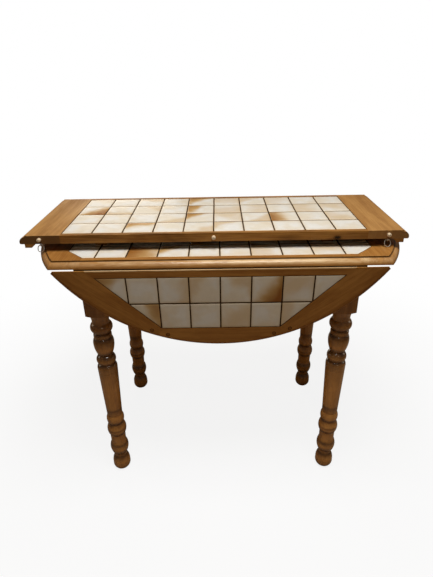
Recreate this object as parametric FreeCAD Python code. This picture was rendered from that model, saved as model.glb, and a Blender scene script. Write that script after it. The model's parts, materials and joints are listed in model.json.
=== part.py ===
import FreeCAD, Part
import math
import os

# A round, tile-topped dining table with turned legs. The round top is split across the middle:
# each half carries a drop leaf on a rule joint and slides outwards on runners, and a loose
# extension leaf fits between the halves. Here the leaves hang and the extension leaf lies on top.
# Millimetres. The origin is on the floor under the round's centre, +Z is up and the front is -Y.

V = FreeCAD.Vector

# The tops
table_height = 765.0        # floor to the face of the fixed round top
end_board_width = 114.0     # wood between the tiles and the edge of the round, where it is widest
board_thickness = 22.0
edge_step = 3.0             # square step where the moulded edge starts
edge_round = 15.0           # radius of the quarter round under the step
seam_gap = 0.4              # between the two halves when they are shut

# The tiles
tile_size = 75.0
tile_joint = 3.0
tile_thickness = 7.0
tile_bevel = 0.8
grout_recess = 0.6          # the grout lies this much below the faces of the tiles
bed_thickness = 1.0
half_columns = 10
half_rows = 3
leaf_columns = 8            # along the hinge side of a leaf, corner halves included
leaf_rows = 2
extension_rows = 4

# The wooden borders
joint_strip = 14.0          # strip along the centre seam and along the extension leaf
rule_flat = 15.0            # flat wood between the tiles of a half and its moulded straight edge
corner_cut = 48.0           # the tile field of a half loses its outer corners by this much
joint_relief = 32.0         # from the sides of a half's tile field in to the cuts under its straight edge
leaf_rail = 20.0            # rail between a leaf's lip and its tiles

# The rule joints and their hinges
cove_clearance = 0.6
lip_gap = 2.3               # between a raised leaf's lip and the step of the fixed edge
leaf_hang_tilt = 4.8        # a hanging leaf leans this many degrees inwards
hinge_leg_gap = 3.0         # between the outer hinges and the blocks of the legs
hinge_length = 60.0
hinge_plate_thickness = 2.0
hinge_plate_reach = 38.0
hinge_finger_reach = 8.0
hinge_finger_length = 20.0
hinge_finger_gap = 0.3
knuckle_radius = 5.0
hinge_pin_radius = 2.5
hinge_pin_clearance = 0.05
hinge_recess_clearance = 0.6

# The lopers that hold a raised leaf
loper_width = 30.0
loper_height = 30.0
loper_drop = 13.0           # from the underside of the top to the top of a loper
loper_length = 330.0
loper_travel = 220.0
loper_nose = 24.0           # length of the 45 degree nose
loper_fit = 0.4
front_loper_spacing = 120.0
back_loper_spacing = 190.0
loper_stop_radius = 4.0
loper_stop_drop = 7.0
loper_stop_inset = 5.5
bearer_reach = 76.0         # from the hinge line to a bearer's inner face on a raised leaf
bearer_depth = 28.0
bearer_height = 25.0
bearer_width = 40.0
bearer_gap = 0.5            # between a raised leaf's bearer and the loper's nose
keeper_thickness = 20.0
keeper_wall = 11.6
keeper_floor = 8.0
inner_keeper = 54.0         # from the centre seam to the middle of each keeper
outer_keeper = 132.0

# The slides
half_travel = 170.0         # how far a half slides out
runner_width = 24.0
runner_height = 40.0
runner_grip = 10.0          # how far past the seam a runner still reaches when its half is drawn out
runner_outer_end = 214.0
runner_relief = 1.5         # the part past the seam is planed lower
tongue_size = 8.0
slide_clearance = 0.5
beam_width = 26.0
runner_leg_gap = 4.5        # between the outer runners and the blocks of the legs

# The frame
leg_inset_x = 171.0         # from the end of the round to the middle of a leg
leg_inset_y = 58.0          # from the line of a rule joint to the middle of a leg
leg_block = 60.0
leg_block_height = 158.0
apron_height = 95.0
apron_thickness = 22.0
apron_setback = 13.0
top_clearance = 0.3         # between the frame and the underside of the sliding top
notch_clearance = 3.0
tenon_thickness = 10.0
tenon_length = 24.0
tenon_shoulder = 14.0
corner_block_reach = 45.0
corner_block_height = 38.0

# The turning of a leg, from the floor up. A bulge is how far the middle of a round member stands out
# from a straight line between its ends.
foot_pad_radius = 14.0
foot_low_height = 26.0      # floor to the widest place of the ball foot
foot_radius = 26.9
foot_low_bulge = 5.0
foot_high_height = 31.0
foot_high_bulge = 2.6
foot_neck_radius = 19.6
foot_neck_height = 8.0
reed_height = 4.5           # thin steps at the start of the three lower rings
line_depth = 0.7            # turned lines
line_width = 1.2
ring_groove = 1.6           # bare gaps beside the upper rings
ankle_ring_height = 52.0
ankle_first_reed = 22.2
ankle_second_reed = 24.6
ankle_ring_bulge = 4.6
ankle_height = 30.0
ankle_foot_radius = 22.8
ankle_head_radius = 23.5
low_ring_height = 44.0
low_first_reed = 25.4
low_second_reed = 27.6
low_ring_bulge = 3.8
low_groove_height = 2.0
low_groove_radius = 22.8
low_bead_height = 34.5
bead_first_reed = 24.6
bead_second_reed = 26.0
low_bead_bulge = 2.3
column_fillet = 2.5
column_neck_radius = 21.8
column_foot_radius = 22.9
column_head_radius = 28.2
shoulder_height = 13.0
shoulder_radius = 28.6
shoulder_round_height = 14.5
shoulder_bulge = 2.2
shoulder_neck_radius = 22.2
high_ring_height = 28.0
high_ring_bulge = 6.7
bulb_foot_radius = 20.0
bulb_height = 39.5
bulb_radius = 29.4
bulb_bulge = 2.2
bulb_top_height = 18.0
bulb_top_bulge = 1.1
collar_height = 8.0
collar_radius = 25.4
collar_round_height = 7.0
collar_bulge = 1.2
neck_radius = 21.8
top_ring_height = 31.0
top_ring_bulge = 8.0
cove_height = 28.5
cove_radius = 24.2
cove_sag = 2.5              # how far the cove sinks below a straight flare
block_flare = 12.0          # rise of the round-off under the block, as far as it would reach the block's width

# The extension leaf
extension_end_width = 104.0
extension_shift_x = -15.0   # it lies a little to the left and to the front
extension_shift_y = -33.0
extension_rest_gap = 0.2
cleat_width = 27.0
cleat_height = 10.0
cleat_inset = 12.0
batten_width = 30.0         # two battens carry the leaf where it lies on the round
batten_height = 21.5
batten_spacing = 300.0
batten_inset = 45.0
dowel_radius = 5.0
dowel_reach = 8.0
dowel_sunk = 13.0
dowel_end_gap = 1.5
dowel_bevel = 1.8
dowel_inset = 51.5          # from the end of the leaf to an outer dowel
dowel_fit = 0.3

# The wire catches under the extension leaf
wire_radius = 1.1
wire_sides = 8              # the wire is drawn with flat sides
catch_width = 17.5
catch_length = 19.0
catch_inset = 5.0           # from the leaf's front edge
eye_radius = 3.2
eye_drop = 4.4              # underside of the leaf to the middle of the eye

# Values that follow from the sizes above
pitch = tile_size + tile_joint
top = table_height
underside = top - board_thickness
panel_top = top - tile_thickness - bed_thickness
field_half = half_columns * pitch / 2
round_radius = field_half + end_board_width
field_outer = joint_strip + half_rows * pitch
hinge_y = field_outer + rule_flat
hinge_z = top - edge_step - edge_round
nose_under = board_thickness - edge_step - edge_round
cove = edge_round + cove_clearance
lip_y = hinge_y + lip_gap
leaf_inner = lip_y + leaf_rail
leaf_outer = leaf_inner + leaf_rows * pitch
leaf_wide = leaf_columns * pitch / 2
leaf_narrow = leaf_wide - leaf_rows * pitch
hang_angle = 90.0 + leaf_hang_tilt
runner_inner_end = runner_grip - half_travel
loper_top = underside - loper_drop
loper_bottom = loper_top - loper_height
keeper_bottom = loper_bottom - loper_fit - keeper_floor
keeper_half = loper_width / 2 + loper_fit + keeper_wall
frame_top = underside - top_clearance
apron_bottom = frame_top - apron_height
block_bottom = frame_top - leg_block_height
leg_spacing_x = round_radius - leg_inset_x
leg_spacing_y = hinge_y - leg_inset_y
apron_face_y = leg_spacing_y + leg_block / 2 - apron_setback
apron_face_x = leg_spacing_x + leg_block / 2 - apron_setback
block_inner_x = leg_spacing_x - leg_block / 2
block_inner_y = leg_spacing_y - leg_block / 2
hinge_spacing = block_inner_x - hinge_leg_gap - hinge_length / 2
beam_spacing = block_inner_x - runner_leg_gap - runner_width - slide_clearance - beam_width / 2
extension_depth = extension_rows * pitch + 2 * joint_strip
extension_underside = top + extension_rest_gap + batten_height
extension_half = field_half + extension_end_width
extension_top = extension_underside + board_thickness
catch_y = extension_shift_y - extension_depth / 2 + catch_inset
catch_z = extension_underside - eye_drop
catch_rise = catch_z - top - wire_radius - extension_rest_gap
catch_swing = catch_length - wire_radius
catch_lift = math.degrees(math.acos(catch_rise / catch_swing))
dowel_spacing = extension_half - dowel_inset
far = 2 * round_radius      # long enough to cut right through any piece


def box(x0, x1, y0, y1, z0, z1):
    """A block between two corners."""
    return Part.makeBox(x1 - x0, y1 - y0, z1 - z0, V(x0, y0, z0))


def prism(corners, z0, z1):
    """A flat outline of (x, y) corners, carried up from z0 to z1."""
    points = [V(x, y, z0) for x, y in corners]
    face = Part.Face(Part.makePolygon(points + points[:1]))
    return face.extrude(V(0, 0, z1 - z0))


def line(a, b):
    return Part.LineSegment(a, b).toShape()


def arc(centre, radius, start, end, across, up):
    """A round edge about a centre, from one angle to another, in the plane of across and up."""

    def at(angle):
        turn = math.radians(angle)
        return centre + across * (radius * math.cos(turn)) + up * (radius * math.sin(turn))

    return Part.Arc(at(start), at((start + end) / 2), at(end)).toShape()


def moulded_face(reach, face_top, across):
    """Section of a board with a stepped quarter-round edge at the given reach from the middle."""
    up = V(0, 0, 1)
    low = face_top - board_thickness
    spring = face_top - edge_step - edge_round
    flat_end = reach - edge_round
    edges = [
        line(up * low, across * (reach - nose_under) + up * low),
        arc(across * (reach - nose_under) + up * spring, nose_under, -90, 0, across, up),
        arc(across * flat_end + up * spring, edge_round, 0, 90, across, up),
        line(across * flat_end + up * (face_top - edge_step), across * flat_end + up * face_top),
        line(across * flat_end + up * face_top, up * face_top),
        line(up * face_top, up * low),
    ]
    return Part.Face(Part.Wire(edges))


def moulded_disc():
    """The whole round top with its moulded edge."""
    return moulded_face(round_radius, top, V(1, 0, 0)).revolve(V(0, 0, 0), V(0, 0, 1), 360)


def across_x(edges):
    """A section in the Y-Z plane, carried along the whole width of the table."""
    shape = Part.Face(Part.Wire(edges)).extrude(V(far, 0, 0))
    shape.translate(V(-far / 2, 0, 0))
    return shape


def half_blank():
    """One half of the round without its leaf: the disc cut straight at the seam and at the rule joint.

    Towards both ends, its straight edge is cut away below the line of the joint.
    """
    pivot = V(0, hinge_y, hinge_z)
    seam = seam_gap / 2
    tuck = math.asin(nose_under / edge_round)
    nose_y = hinge_y + edge_round * math.cos(tuck)
    edges = [
        line(V(0, seam, underside), V(0, nose_y, underside)),
        arc(pivot, edge_round, -math.degrees(tuck), 90, V(0, 1, 0), V(0, 0, 1)),
        line(V(0, hinge_y, top - edge_step), V(0, hinge_y, top)),
        line(V(0, hinge_y, top), V(0, seam, top)),
        line(V(0, seam, top), V(0, seam, underside)),
    ]
    cut_from = field_half - joint_relief
    cuts = [
        box(-far, -cut_from, hinge_y, far, underside, hinge_z),
        box(cut_from, far, hinge_y, far, underside, hinge_z),
    ]
    return moulded_disc().common(across_x(edges)).cut(cuts)


def leaf_blank():
    """A raised leaf's outline with the hollow that wraps the fixed quarter round."""
    pivot = V(0, hinge_y, hinge_z)
    lip_angle = math.degrees(math.acos(lip_gap / cove))
    lip_z = hinge_z + cove * math.sin(math.radians(lip_angle))
    edges = [
        arc(pivot, cove, 0, lip_angle, V(0, 1, 0), V(0, 0, 1)),
        line(V(0, lip_y, lip_z), V(0, lip_y, top)),
        line(V(0, lip_y, top), V(0, far, top)),
        line(V(0, far, top), V(0, far, underside)),
        line(V(0, far, underside), V(0, hinge_y + cove, underside)),
        line(V(0, hinge_y + cove, underside), V(0, hinge_y + cove, hinge_z)),
    ]
    return moulded_disc().common(across_x(edges))


def tile(x, y, face_top, limits):
    """One tile with bevelled upper edges, cut off where it leaves the limits, or None outside them."""
    half = tile_size / 2
    solid = box(x - half, x + half, y - half, y + half, face_top - tile_thickness, face_top)
    solid = solid.common(limits)
    if not solid.Solids:
        return None
    rim = [e for e in solid.Edges if e.BoundBox.ZMin > face_top - tile_bevel / 2]
    return solid.makeChamfer(tile_bevel, rim)


def tile_field(columns, rows, y0, face_top, corners):
    """The tiles and the grout between them, inside an outline of (x, y) corners."""
    grout = prism(corners, face_top - tile_thickness - bed_thickness, face_top - grout_recess)
    inner = Part.makePolygon([V(x, y, 0) for x, y in corners + corners[:1]])
    inner = Part.Face(inner.makeOffset2D(-tile_joint / 2, join=2))
    limits = inner.extrude(V(0, 0, far))
    tiles = []
    for row in range(rows):
        for column in range(columns):
            x = (column - (columns - 1) / 2) * pitch
            y = y0 + (row + 0.5) * pitch
            piece = tile(x, y, face_top, limits)
            if piece:
                tiles.append(piece)
    return tiles, grout.cut(tiles)


def dowel(x, y, z):
    """A dowel along Y, whose bevelled nose points to -Y from a board edge at y."""
    peg = Part.makeCylinder(dowel_radius, dowel_reach + dowel_sunk, V(x, y - dowel_reach, z), V(0, 1, 0))
    nose = [e for e in peg.Edges if e.BoundBox.YMax < y - dowel_reach / 2]
    return peg.makeChamfer(dowel_bevel, nose)


def dowel_places():
    return [-dowel_spacing, 0.0, dowel_spacing]


def dowel_seats(y, z, depth, radius):
    """Round holes along +Y into a board edge at y."""
    return [Part.makeCylinder(radius, depth, V(x, y, z), V(0, 1, 0)) for x in dowel_places()]


def hinge_places():
    return [-hinge_spacing, 0.0, hinge_spacing]


def hinge_fixed_plate(x):
    """The plate under the fixed half, with its two outer knuckles."""
    half = hinge_length / 2
    gap = hinge_finger_length / 2
    low = underside - hinge_plate_thickness
    plate = box(x - half, x + half, hinge_y - hinge_plate_reach, hinge_y - hinge_finger_reach, low, underside)
    for start in (x - half, x + gap):
        length = half - gap
        plate = plate.fuse(box(start, start + length, hinge_y - hinge_finger_reach, hinge_y, low, underside))
        plate = plate.fuse(Part.makeCylinder(knuckle_radius, length, V(start, hinge_y, hinge_z), V(1, 0, 0)))
    bore = Part.makeCylinder(hinge_pin_radius, hinge_length, V(x - half, hinge_y, hinge_z), V(1, 0, 0))
    return plate.cut(bore).removeSplitter()


def hinge_swing_plate(x):
    """The plate under the leaf, with its middle knuckle."""
    half = hinge_length / 2
    finger = hinge_finger_length / 2 - hinge_finger_gap
    low = underside - hinge_plate_thickness
    start = V(x - finger, hinge_y, hinge_z)
    plate = box(x - half, x + half, hinge_y + hinge_finger_reach, hinge_y + hinge_plate_reach, low, underside)
    plate = plate.fuse(box(x - finger, x + finger, hinge_y, hinge_y + hinge_finger_reach, low, underside))
    plate = plate.fuse(Part.makeCylinder(knuckle_radius, 2 * finger, start, V(1, 0, 0)))
    bore = Part.makeCylinder(hinge_pin_radius + hinge_pin_clearance, 2 * finger, start, V(1, 0, 0))
    return plate.cut(bore).removeSplitter()


def hinge_pin(x):
    start = V(x - hinge_length / 2, hinge_y, hinge_z)
    return Part.makeCylinder(hinge_pin_radius, hinge_length, start, V(1, 0, 0))


def hinge_recess(x):
    """Room in the fixed rail for the knuckles, and for the swing plate of a raised or hanging leaf."""
    half = hinge_length / 2 + hinge_recess_clearance
    reach = hinge_finger_reach + hinge_recess_clearance
    radius = knuckle_radius + hinge_recess_clearance
    housing = box(x - half, x + half, hinge_y - reach, hinge_y + radius, underside, hinge_z + radius)
    relief = underside + hinge_recess_clearance
    return housing.fuse(box(x - half, x + half, hinge_y, hinge_y + hinge_plate_reach, underside, relief))


def half_field_corners():
    """Corners of a half's tile field, with its two outer corners cut off at 45 degrees."""
    cut_x = field_half - corner_cut
    cut_y = field_outer - corner_cut
    return [
        (-field_half, joint_strip),
        (field_half, joint_strip),
        (field_half, cut_y),
        (cut_x, field_outer),
        (-cut_x, field_outer),
        (-field_half, cut_y),
    ]


def half_top_pieces():
    """The wood, bed and tiles of one fixed half, on the +Y side of the seam."""
    corners = half_field_corners()
    blank = half_blank()
    field = prism(corners, underside, top)
    strip_zone = box(-field_half, field_half, 0, joint_strip, underside, top)
    rail_end = field_half - corner_cut
    rail_zone = box(-rail_end, rail_end, field_outer, round_radius, underside, top)
    tiles, grout = tile_field(half_columns, half_rows, joint_strip, top, corners)
    recesses = [hinge_recess(x) for x in hinge_places()]
    hinges = [hinge_fixed_plate(x) for x in hinge_places()] + [hinge_pin(x) for x in hinge_places()]
    return {
        "panel": [prism(corners, underside, panel_top)],
        "grout": [grout],
        "tiles": tiles,
        "end_boards": blank.cut([field, strip_zone, rail_zone]).Solids,
        "rule_rail": [blank.common(rail_zone).cut(recesses)],
        "joint_strip": [blank.common(strip_zone)],
        "hinge_plates": hinges,
    }


def runner(x, beam_side):
    """A runner under a half, with a tongue on the side, -1 or 1, where the slide beam is."""
    near = x - runner_width / 2
    low = underside - runner_height
    bar = box(near, near + runner_width, runner_inner_end, runner_outer_end, low, underside)
    relief = box(near, near + runner_width, runner_inner_end, seam_gap, underside - runner_relief, underside)
    tongue_low = underside - (runner_height + tongue_size) / 2
    span = sorted((x, x + beam_side * (runner_width / 2 + tongue_size)))
    tongue = box(span[0], span[1], runner_inner_end, runner_outer_end, tongue_low, tongue_low + tongue_size)
    return bar.cut(relief).fuse(tongue).removeSplitter()


def runner_offset(outside):
    """Distance of a runner's middle from the table's centre: outside or inside the slide beam."""
    step = beam_width / 2 + slide_clearance + runner_width / 2
    return beam_spacing + step if outside else beam_spacing - step


def runners(outside):
    place = runner_offset(outside)
    beam_side = -1 if outside else 1
    return [runner(place, beam_side), runner(-place, -beam_side)]


def keeper(x, y):
    """A wooden staple that carries a loper under a half."""
    outer = box(x - keeper_half, x + keeper_half, y - keeper_thickness / 2, y + keeper_thickness / 2,
                keeper_bottom, underside)
    half = loper_width / 2 + loper_fit
    return outer.cut(box(x - half, x + half, y - keeper_thickness, y + keeper_thickness,
                         loper_bottom - loper_fit, loper_top + loper_fit))


def loper_rest_tip():
    """How far from the seam a loper's nose ends while its leaf hangs."""
    ramp = bearer_reach + bearer_height - loper_drop - bearer_gap
    out_tip = hinge_y + ramp - (bearer_height - loper_drop) + loper_nose
    return out_tip - loper_travel


def loper(x):
    """A bar with a 45 degree nose, a stop peg under its tail, drawn in under the half."""
    tip = loper_rest_tip()
    tail = tip - loper_length
    points = [
        V(x - loper_width / 2, tail, loper_bottom),
        V(x - loper_width / 2, tip, loper_bottom),
        V(x - loper_width / 2, tip, loper_top - loper_nose),
        V(x - loper_width / 2, tip - loper_nose, loper_top),
        V(x - loper_width / 2, tail, loper_top),
    ]
    bar = Part.Face(Part.makePolygon(points + points[:1])).extrude(V(loper_width, 0, 0))
    peg_y = tail + loper_stop_inset
    peg = Part.makeCylinder(loper_stop_radius, loper_stop_drop, V(x, peg_y, loper_bottom - loper_stop_drop))
    return bar.fuse(peg)


def leaf_pieces(loper_spacing):
    """A drop leaf's pieces, made level on the +Y side."""
    corners = [
        (-leaf_wide, leaf_inner),
        (leaf_wide, leaf_inner),
        (leaf_narrow, leaf_outer),
        (-leaf_narrow, leaf_outer),
    ]
    blank = leaf_blank()
    field = prism(corners, underside, top)
    run = leaf_inner - hinge_y
    rail_zone = prism([
        (-leaf_wide - run, hinge_y),
        (leaf_wide + run, hinge_y),
        (leaf_wide, leaf_inner),
        (-leaf_wide, leaf_inner),
    ], underside, top)
    mitre = round_radius * math.tan(math.radians(22.5))
    outer_zone = prism([
        (-leaf_narrow, leaf_outer),
        (leaf_narrow, leaf_outer),
        (leaf_narrow + mitre, leaf_outer + round_radius),
        (-leaf_narrow - mitre, leaf_outer + round_radius),
    ], underside, top)
    tiles, grout = tile_field(leaf_columns, leaf_rows, leaf_inner, top, corners)
    return {
        "panel": [prism(corners, underside, panel_top)],
        "grout": [grout],
        "tiles": tiles,
        "hinge_rail": [blank.common(rail_zone)],
        "side_boards": blank.cut([field, rail_zone, outer_zone]).Solids,
        "outer_rail": [blank.common(outer_zone)],
        "bearers": [bearer(-loper_spacing), bearer(loper_spacing)],
        "hinge_flaps": [hinge_swing_plate(x) for x in hinge_places()],
    }


def bearer(x):
    """The block under a leaf that a loper's nose comes up against, with a 45 degree inner face."""
    slope = bearer_height - loper_drop
    inner = hinge_y + bearer_reach
    outer = inner + bearer_depth
    bottom = underside - bearer_height
    start = x - bearer_width / 2
    points = [
        V(start, inner, underside),
        V(start, outer, underside),
        V(start, outer, bottom),
        V(start, inner + slope, bottom),
        V(start, inner, bottom + slope),
    ]
    return Part.Face(Part.makePolygon(points + points[:1])).extrude(V(bearer_width, 0, 0))


class Turning:
    """The outline of a turned piece, drawn upwards as radius and height."""

    def __init__(self, radius):
        self.spot = V(radius, 0, 0)
        self.edges = [line(V(0, 0, 0), self.spot)]

    def straight(self, radius, rise):
        end = V(radius, 0, self.spot.z + rise)
        self.edges.append(line(self.spot, end))
        self.spot = end

    def bow(self, radius, rise, bulge):
        """A round member, or a hollow one where the bulge is negative."""
        end = V(radius, 0, self.spot.z + rise)
        chord = end - self.spot
        outward = V(chord.z, 0, -chord.x)
        outward.normalize()
        middle = (self.spot + end) / 2 + outward * bulge
        self.edges.append(Part.Arc(self.spot, middle, end).toShape())
        self.spot = end

    def turned_line(self):
        """A small V cut all round."""
        radius = self.spot.x
        self.straight(radius - line_depth, line_width / 2)
        self.straight(radius, line_width / 2)

    def reeded_ring(self, reeds, radius, rise, bulge):
        """A ring that starts with thin steps, parted by turned lines, and then swells."""
        for reed in reeds:
            self.straight(reed, reed_height)
            self.turned_line()
        self.bow(radius, rise - len(reeds) * (reed_height + line_width), bulge)

    def solid(self):
        axis_end = V(0, 0, self.spot.z)
        self.edges.append(line(self.spot, axis_end))
        self.edges.append(line(axis_end, V(0, 0, 0)))
        return Part.Face(Part.Wire(self.edges)).revolve(V(0, 0, 0), V(0, 0, 1), 360)


def turned_foot():
    """The outline of a leg from the floor to the foot of its tapered column."""
    turning = Turning(foot_pad_radius)
    turning.bow(foot_radius, foot_low_height, foot_low_bulge)
    turning.bow(foot_neck_radius, foot_high_height, foot_high_bulge)
    turning.straight(foot_neck_radius, foot_neck_height)
    ankle_reeds = (ankle_first_reed, ankle_second_reed)
    turning.reeded_ring(ankle_reeds, ankle_foot_radius, ankle_ring_height, ankle_ring_bulge)
    turning.straight(ankle_head_radius, ankle_height)
    low_reeds = (low_first_reed, low_second_reed)
    turning.reeded_ring(low_reeds, low_groove_radius, low_ring_height, low_ring_bulge)
    turning.straight(low_groove_radius, low_groove_height)
    bead_reeds = (bead_first_reed, bead_second_reed)
    turning.reeded_ring(bead_reeds, column_neck_radius, low_bead_height, low_bead_bulge)
    turning.straight(column_foot_radius, column_fillet)
    return turning


def turned_leg():
    """A leg at the origin: the turned part on a ball foot, and the square block above it."""
    lines = line_width + line_width
    grooves = ring_groove + ring_groove + ring_groove
    above_column = (shoulder_height + shoulder_round_height + high_ring_height + bulb_height + bulb_top_height
                    + collar_height + collar_round_height + top_ring_height + cove_height + lines + grooves)
    turning = turned_foot()
    turning.straight(column_head_radius, block_bottom - above_column - turning.spot.z)
    turning.turned_line()
    turning.straight(shoulder_radius, shoulder_height)
    turning.bow(shoulder_neck_radius, shoulder_round_height, shoulder_bulge)
    turning.straight(shoulder_neck_radius, ring_groove)
    turning.bow(bulb_foot_radius, high_ring_height, high_ring_bulge)
    turning.straight(bulb_foot_radius, ring_groove)
    turning.bow(bulb_radius, bulb_height, bulb_bulge)
    turning.bow(collar_radius, bulb_top_height, bulb_top_bulge)
    turning.turned_line()
    turning.straight(collar_radius, collar_height)
    turning.bow(neck_radius, collar_round_height, collar_bulge)
    turning.straight(neck_radius, ring_groove)
    turning.bow(cove_radius, top_ring_height, top_ring_bulge)
    half = leg_block / 2
    turning.bow(half, cove_height, -cove_sag)
    block = box(-half, half, -half, half, block_bottom, frame_top)
    flare = Part.makeCone(half, leg_block, block_flare, V(0, 0, block_bottom))
    above = Part.makeCylinder(leg_block, leg_block_height, V(0, 0, block_bottom + block_flare))
    return turning.solid().fuse(block.common(flare.fuse(above))).removeSplitter()


def leg(side_x, side_y):
    """A leg in its corner, with the mortises of its two aprons."""
    solid = turned_leg()
    solid.translate(V(side_x * leg_spacing_x, side_y * leg_spacing_y, 0))
    return solid.cut([long_apron(side_y), short_apron(side_x)])


def tenon_levels():
    return apron_bottom + tenon_shoulder, frame_top - tenon_shoulder


def long_apron(side_y):
    """The front or back apron with a tenon at each end."""
    low, high = tenon_levels()
    inner = apron_face_y - apron_thickness
    middle = apron_face_y - apron_thickness / 2
    board = box(-block_inner_x, block_inner_x, inner, apron_face_y, apron_bottom, frame_top)
    ends = block_inner_x + tenon_length
    tenon = box(-ends, ends, middle - tenon_thickness / 2, middle + tenon_thickness / 2, low, high)
    board = board.fuse(tenon).removeSplitter()
    if side_y < 0:
        board.rotate(V(0, 0, 0), V(0, 0, 1), 180)
    return board


def notched_apron(side_y, loper_spacing, far_loper_spacing, outside):
    """A long apron with room for its half's runners and lopers, and for long tails of the other lopers."""
    cuts = []
    reach = runner_width / 2 + notch_clearance
    place = runner_offset(outside)
    near = place - reach - (tongue_size if outside else 0)
    far_side = place + reach + (0 if outside else tongue_size)
    runner_low = underside - runner_height - notch_clearance
    keeper_reach = keeper_half + notch_clearance
    keeper_low = keeper_bottom - notch_clearance
    for sign in (-1, 1):
        span = sorted((sign * near, sign * far_side))
        cuts.append(box(span[0], span[1], -far, far, runner_low, top))
        x = sign * loper_spacing
        cuts.append(box(x - keeper_reach, x + keeper_reach, -far, far, keeper_low, top))
        cuts.append(tail_room(sign * far_loper_spacing, side_y))
    return long_apron(side_y).cut(cuts)


def tail_room(x, side_y):
    """The room of a loper's tail, from the seam to the side of the frame that it points to."""
    reach = loper_width / 2 + loper_fit
    end = loper_length - loper_rest_tip() + loper_fit
    span = sorted((0, side_y * end))
    return box(x - reach, x + reach, span[0], span[1], loper_bottom - loper_stop_drop - loper_fit, top)


def short_apron(side_x):
    """The left or right apron with a tenon at each end."""
    low, high = tenon_levels()
    inner = apron_face_x - apron_thickness
    middle = apron_face_x - apron_thickness / 2
    board = box(inner, apron_face_x, -block_inner_y, block_inner_y, apron_bottom, frame_top)
    ends = block_inner_y + tenon_length
    tenon = box(middle - tenon_thickness / 2, middle + tenon_thickness / 2, -ends, ends, low, high)
    board = board.fuse(tenon).removeSplitter()
    if side_x < 0:
        board.rotate(V(0, 0, 0), V(0, 0, 1), 180)
    return board


def corner_blocks():
    """Glue blocks in the frame's inner corners, below the runners."""
    inner_x = apron_face_x - apron_thickness
    inner_y = apron_face_y - apron_thickness
    corners = [
        (block_inner_x - corner_block_reach, inner_y),
        (inner_x, block_inner_y - corner_block_reach),
        (inner_x, block_inner_y),
        (block_inner_x, block_inner_y),
        (block_inner_x, inner_y),
    ]
    blocks = []
    for side_x in (-1, 1):
        for side_y in (-1, 1):
            outline = [(side_x * x, side_y * y) for x, y in corners]
            blocks.append(prism(outline, apron_bottom, apron_bottom + corner_block_height))
    return blocks


def slide_beams():
    """Two beams across the frame, grooved on both sides for the runners' tongues."""
    inner = apron_face_y - apron_thickness
    high = underside - 2 * slide_clearance
    low = high - runner_height
    groove = tongue_size / 2 + slide_clearance
    tongue_z = underside - runner_height / 2
    depth = tongue_size + 2 * slide_clearance
    beams = []
    for sign in (-1, 1):
        x = sign * beam_spacing
        beam = box(x - beam_width / 2, x + beam_width / 2, -inner, inner, low, high)
        for edge in (-1, 1):
            side = x + edge * beam_width / 2
            span = sorted((side, side - edge * depth))
            beam = beam.cut(box(span[0], span[1], -inner, inner, tongue_z - groove, tongue_z + groove))
        beams.append(beam)
    return beams


def extension_pieces():
    """The loose leaf: two moulded end boards, two strips and the tiled panel between them."""
    half_depth = extension_depth / 2
    low = extension_underside
    high = extension_top
    blank = moulded_face(extension_half, high, V(1, 0, 0)).extrude(V(0, extension_depth, 0))
    mirrored = moulded_face(extension_half, high, V(-1, 0, 0)).extrude(V(0, extension_depth, 0))
    ends = []
    for solid, sign in ((mirrored, -1), (blank, 1)):
        solid.translate(V(0, -half_depth, 0))
        middle = sorted((0, sign * field_half))
        ends.append(solid.cut(box(middle[0], middle[1], -half_depth, half_depth, low, high)))
    field_y = half_depth - joint_strip
    corners = [(-field_half, -field_y), (field_half, -field_y), (field_half, field_y), (-field_half, field_y)]
    tiles, grout = tile_field(half_columns, extension_rows, -field_y, high, corners)
    level = high - board_thickness / 2
    front_seats = dowel_seats(-half_depth, level, dowel_sunk, dowel_radius)
    back_depth = dowel_reach + dowel_end_gap
    back_seats = dowel_seats(half_depth - back_depth, level, back_depth, dowel_radius + dowel_fit)
    strips = [
        box(-field_half, field_half, -half_depth, -field_y, low, high),
        box(-field_half, field_half, field_y, half_depth, low, high),
    ]
    return {
        "panel": [prism(corners, low, high - tile_thickness - bed_thickness)],
        "grout": [grout],
        "tiles": tiles,
        "end_boards": [end.cut(front_seats + back_seats) for end in ends],
        "strips": [strip.cut(front_seats + back_seats) for strip in strips],
        "cleats": [cleat(-1), cleat(1), batten(-1), batten(1)],
        "dowels": [dowel(x, -half_depth, level) for x in dowel_places()],
        "catch_eyes": [catch_eye(-1), catch_eye(1)],
    }


def cleat(sign):
    """A batten under an end board, bevelled on its inner side."""
    outer = extension_half - cleat_inset
    inner = outer - cleat_width
    low = extension_underside - cleat_height
    points = [
        V(sign * outer, 0, extension_underside),
        V(sign * outer, 0, low),
        V(sign * (inner + cleat_height), 0, low),
        V(sign * inner, 0, extension_underside),
    ]
    solid = Part.Face(Part.makePolygon(points + points[:1])).extrude(V(0, extension_depth, 0))
    solid.translate(V(0, -extension_depth / 2, 0))
    return solid


def batten(sign):
    """A batten across the leaf's underside, on which it lies on the round."""
    x = sign * batten_spacing
    end = extension_depth / 2 - batten_inset
    low = extension_underside - batten_height
    return box(x - batten_width / 2, x + batten_width / 2, -end, end, low, extension_underside)


def wire_section(centre, across, up):
    """The section of a wire about a place, in the plane of two directions."""
    turns = [math.radians(360 * (side + 0.5) / wire_sides) for side in range(wire_sides)]
    corners = [centre + across * (wire_radius * math.cos(t)) + up * (wire_radius * math.sin(t)) for t in turns]
    return Part.Face(Part.makePolygon(corners + corners[:1]))


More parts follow.
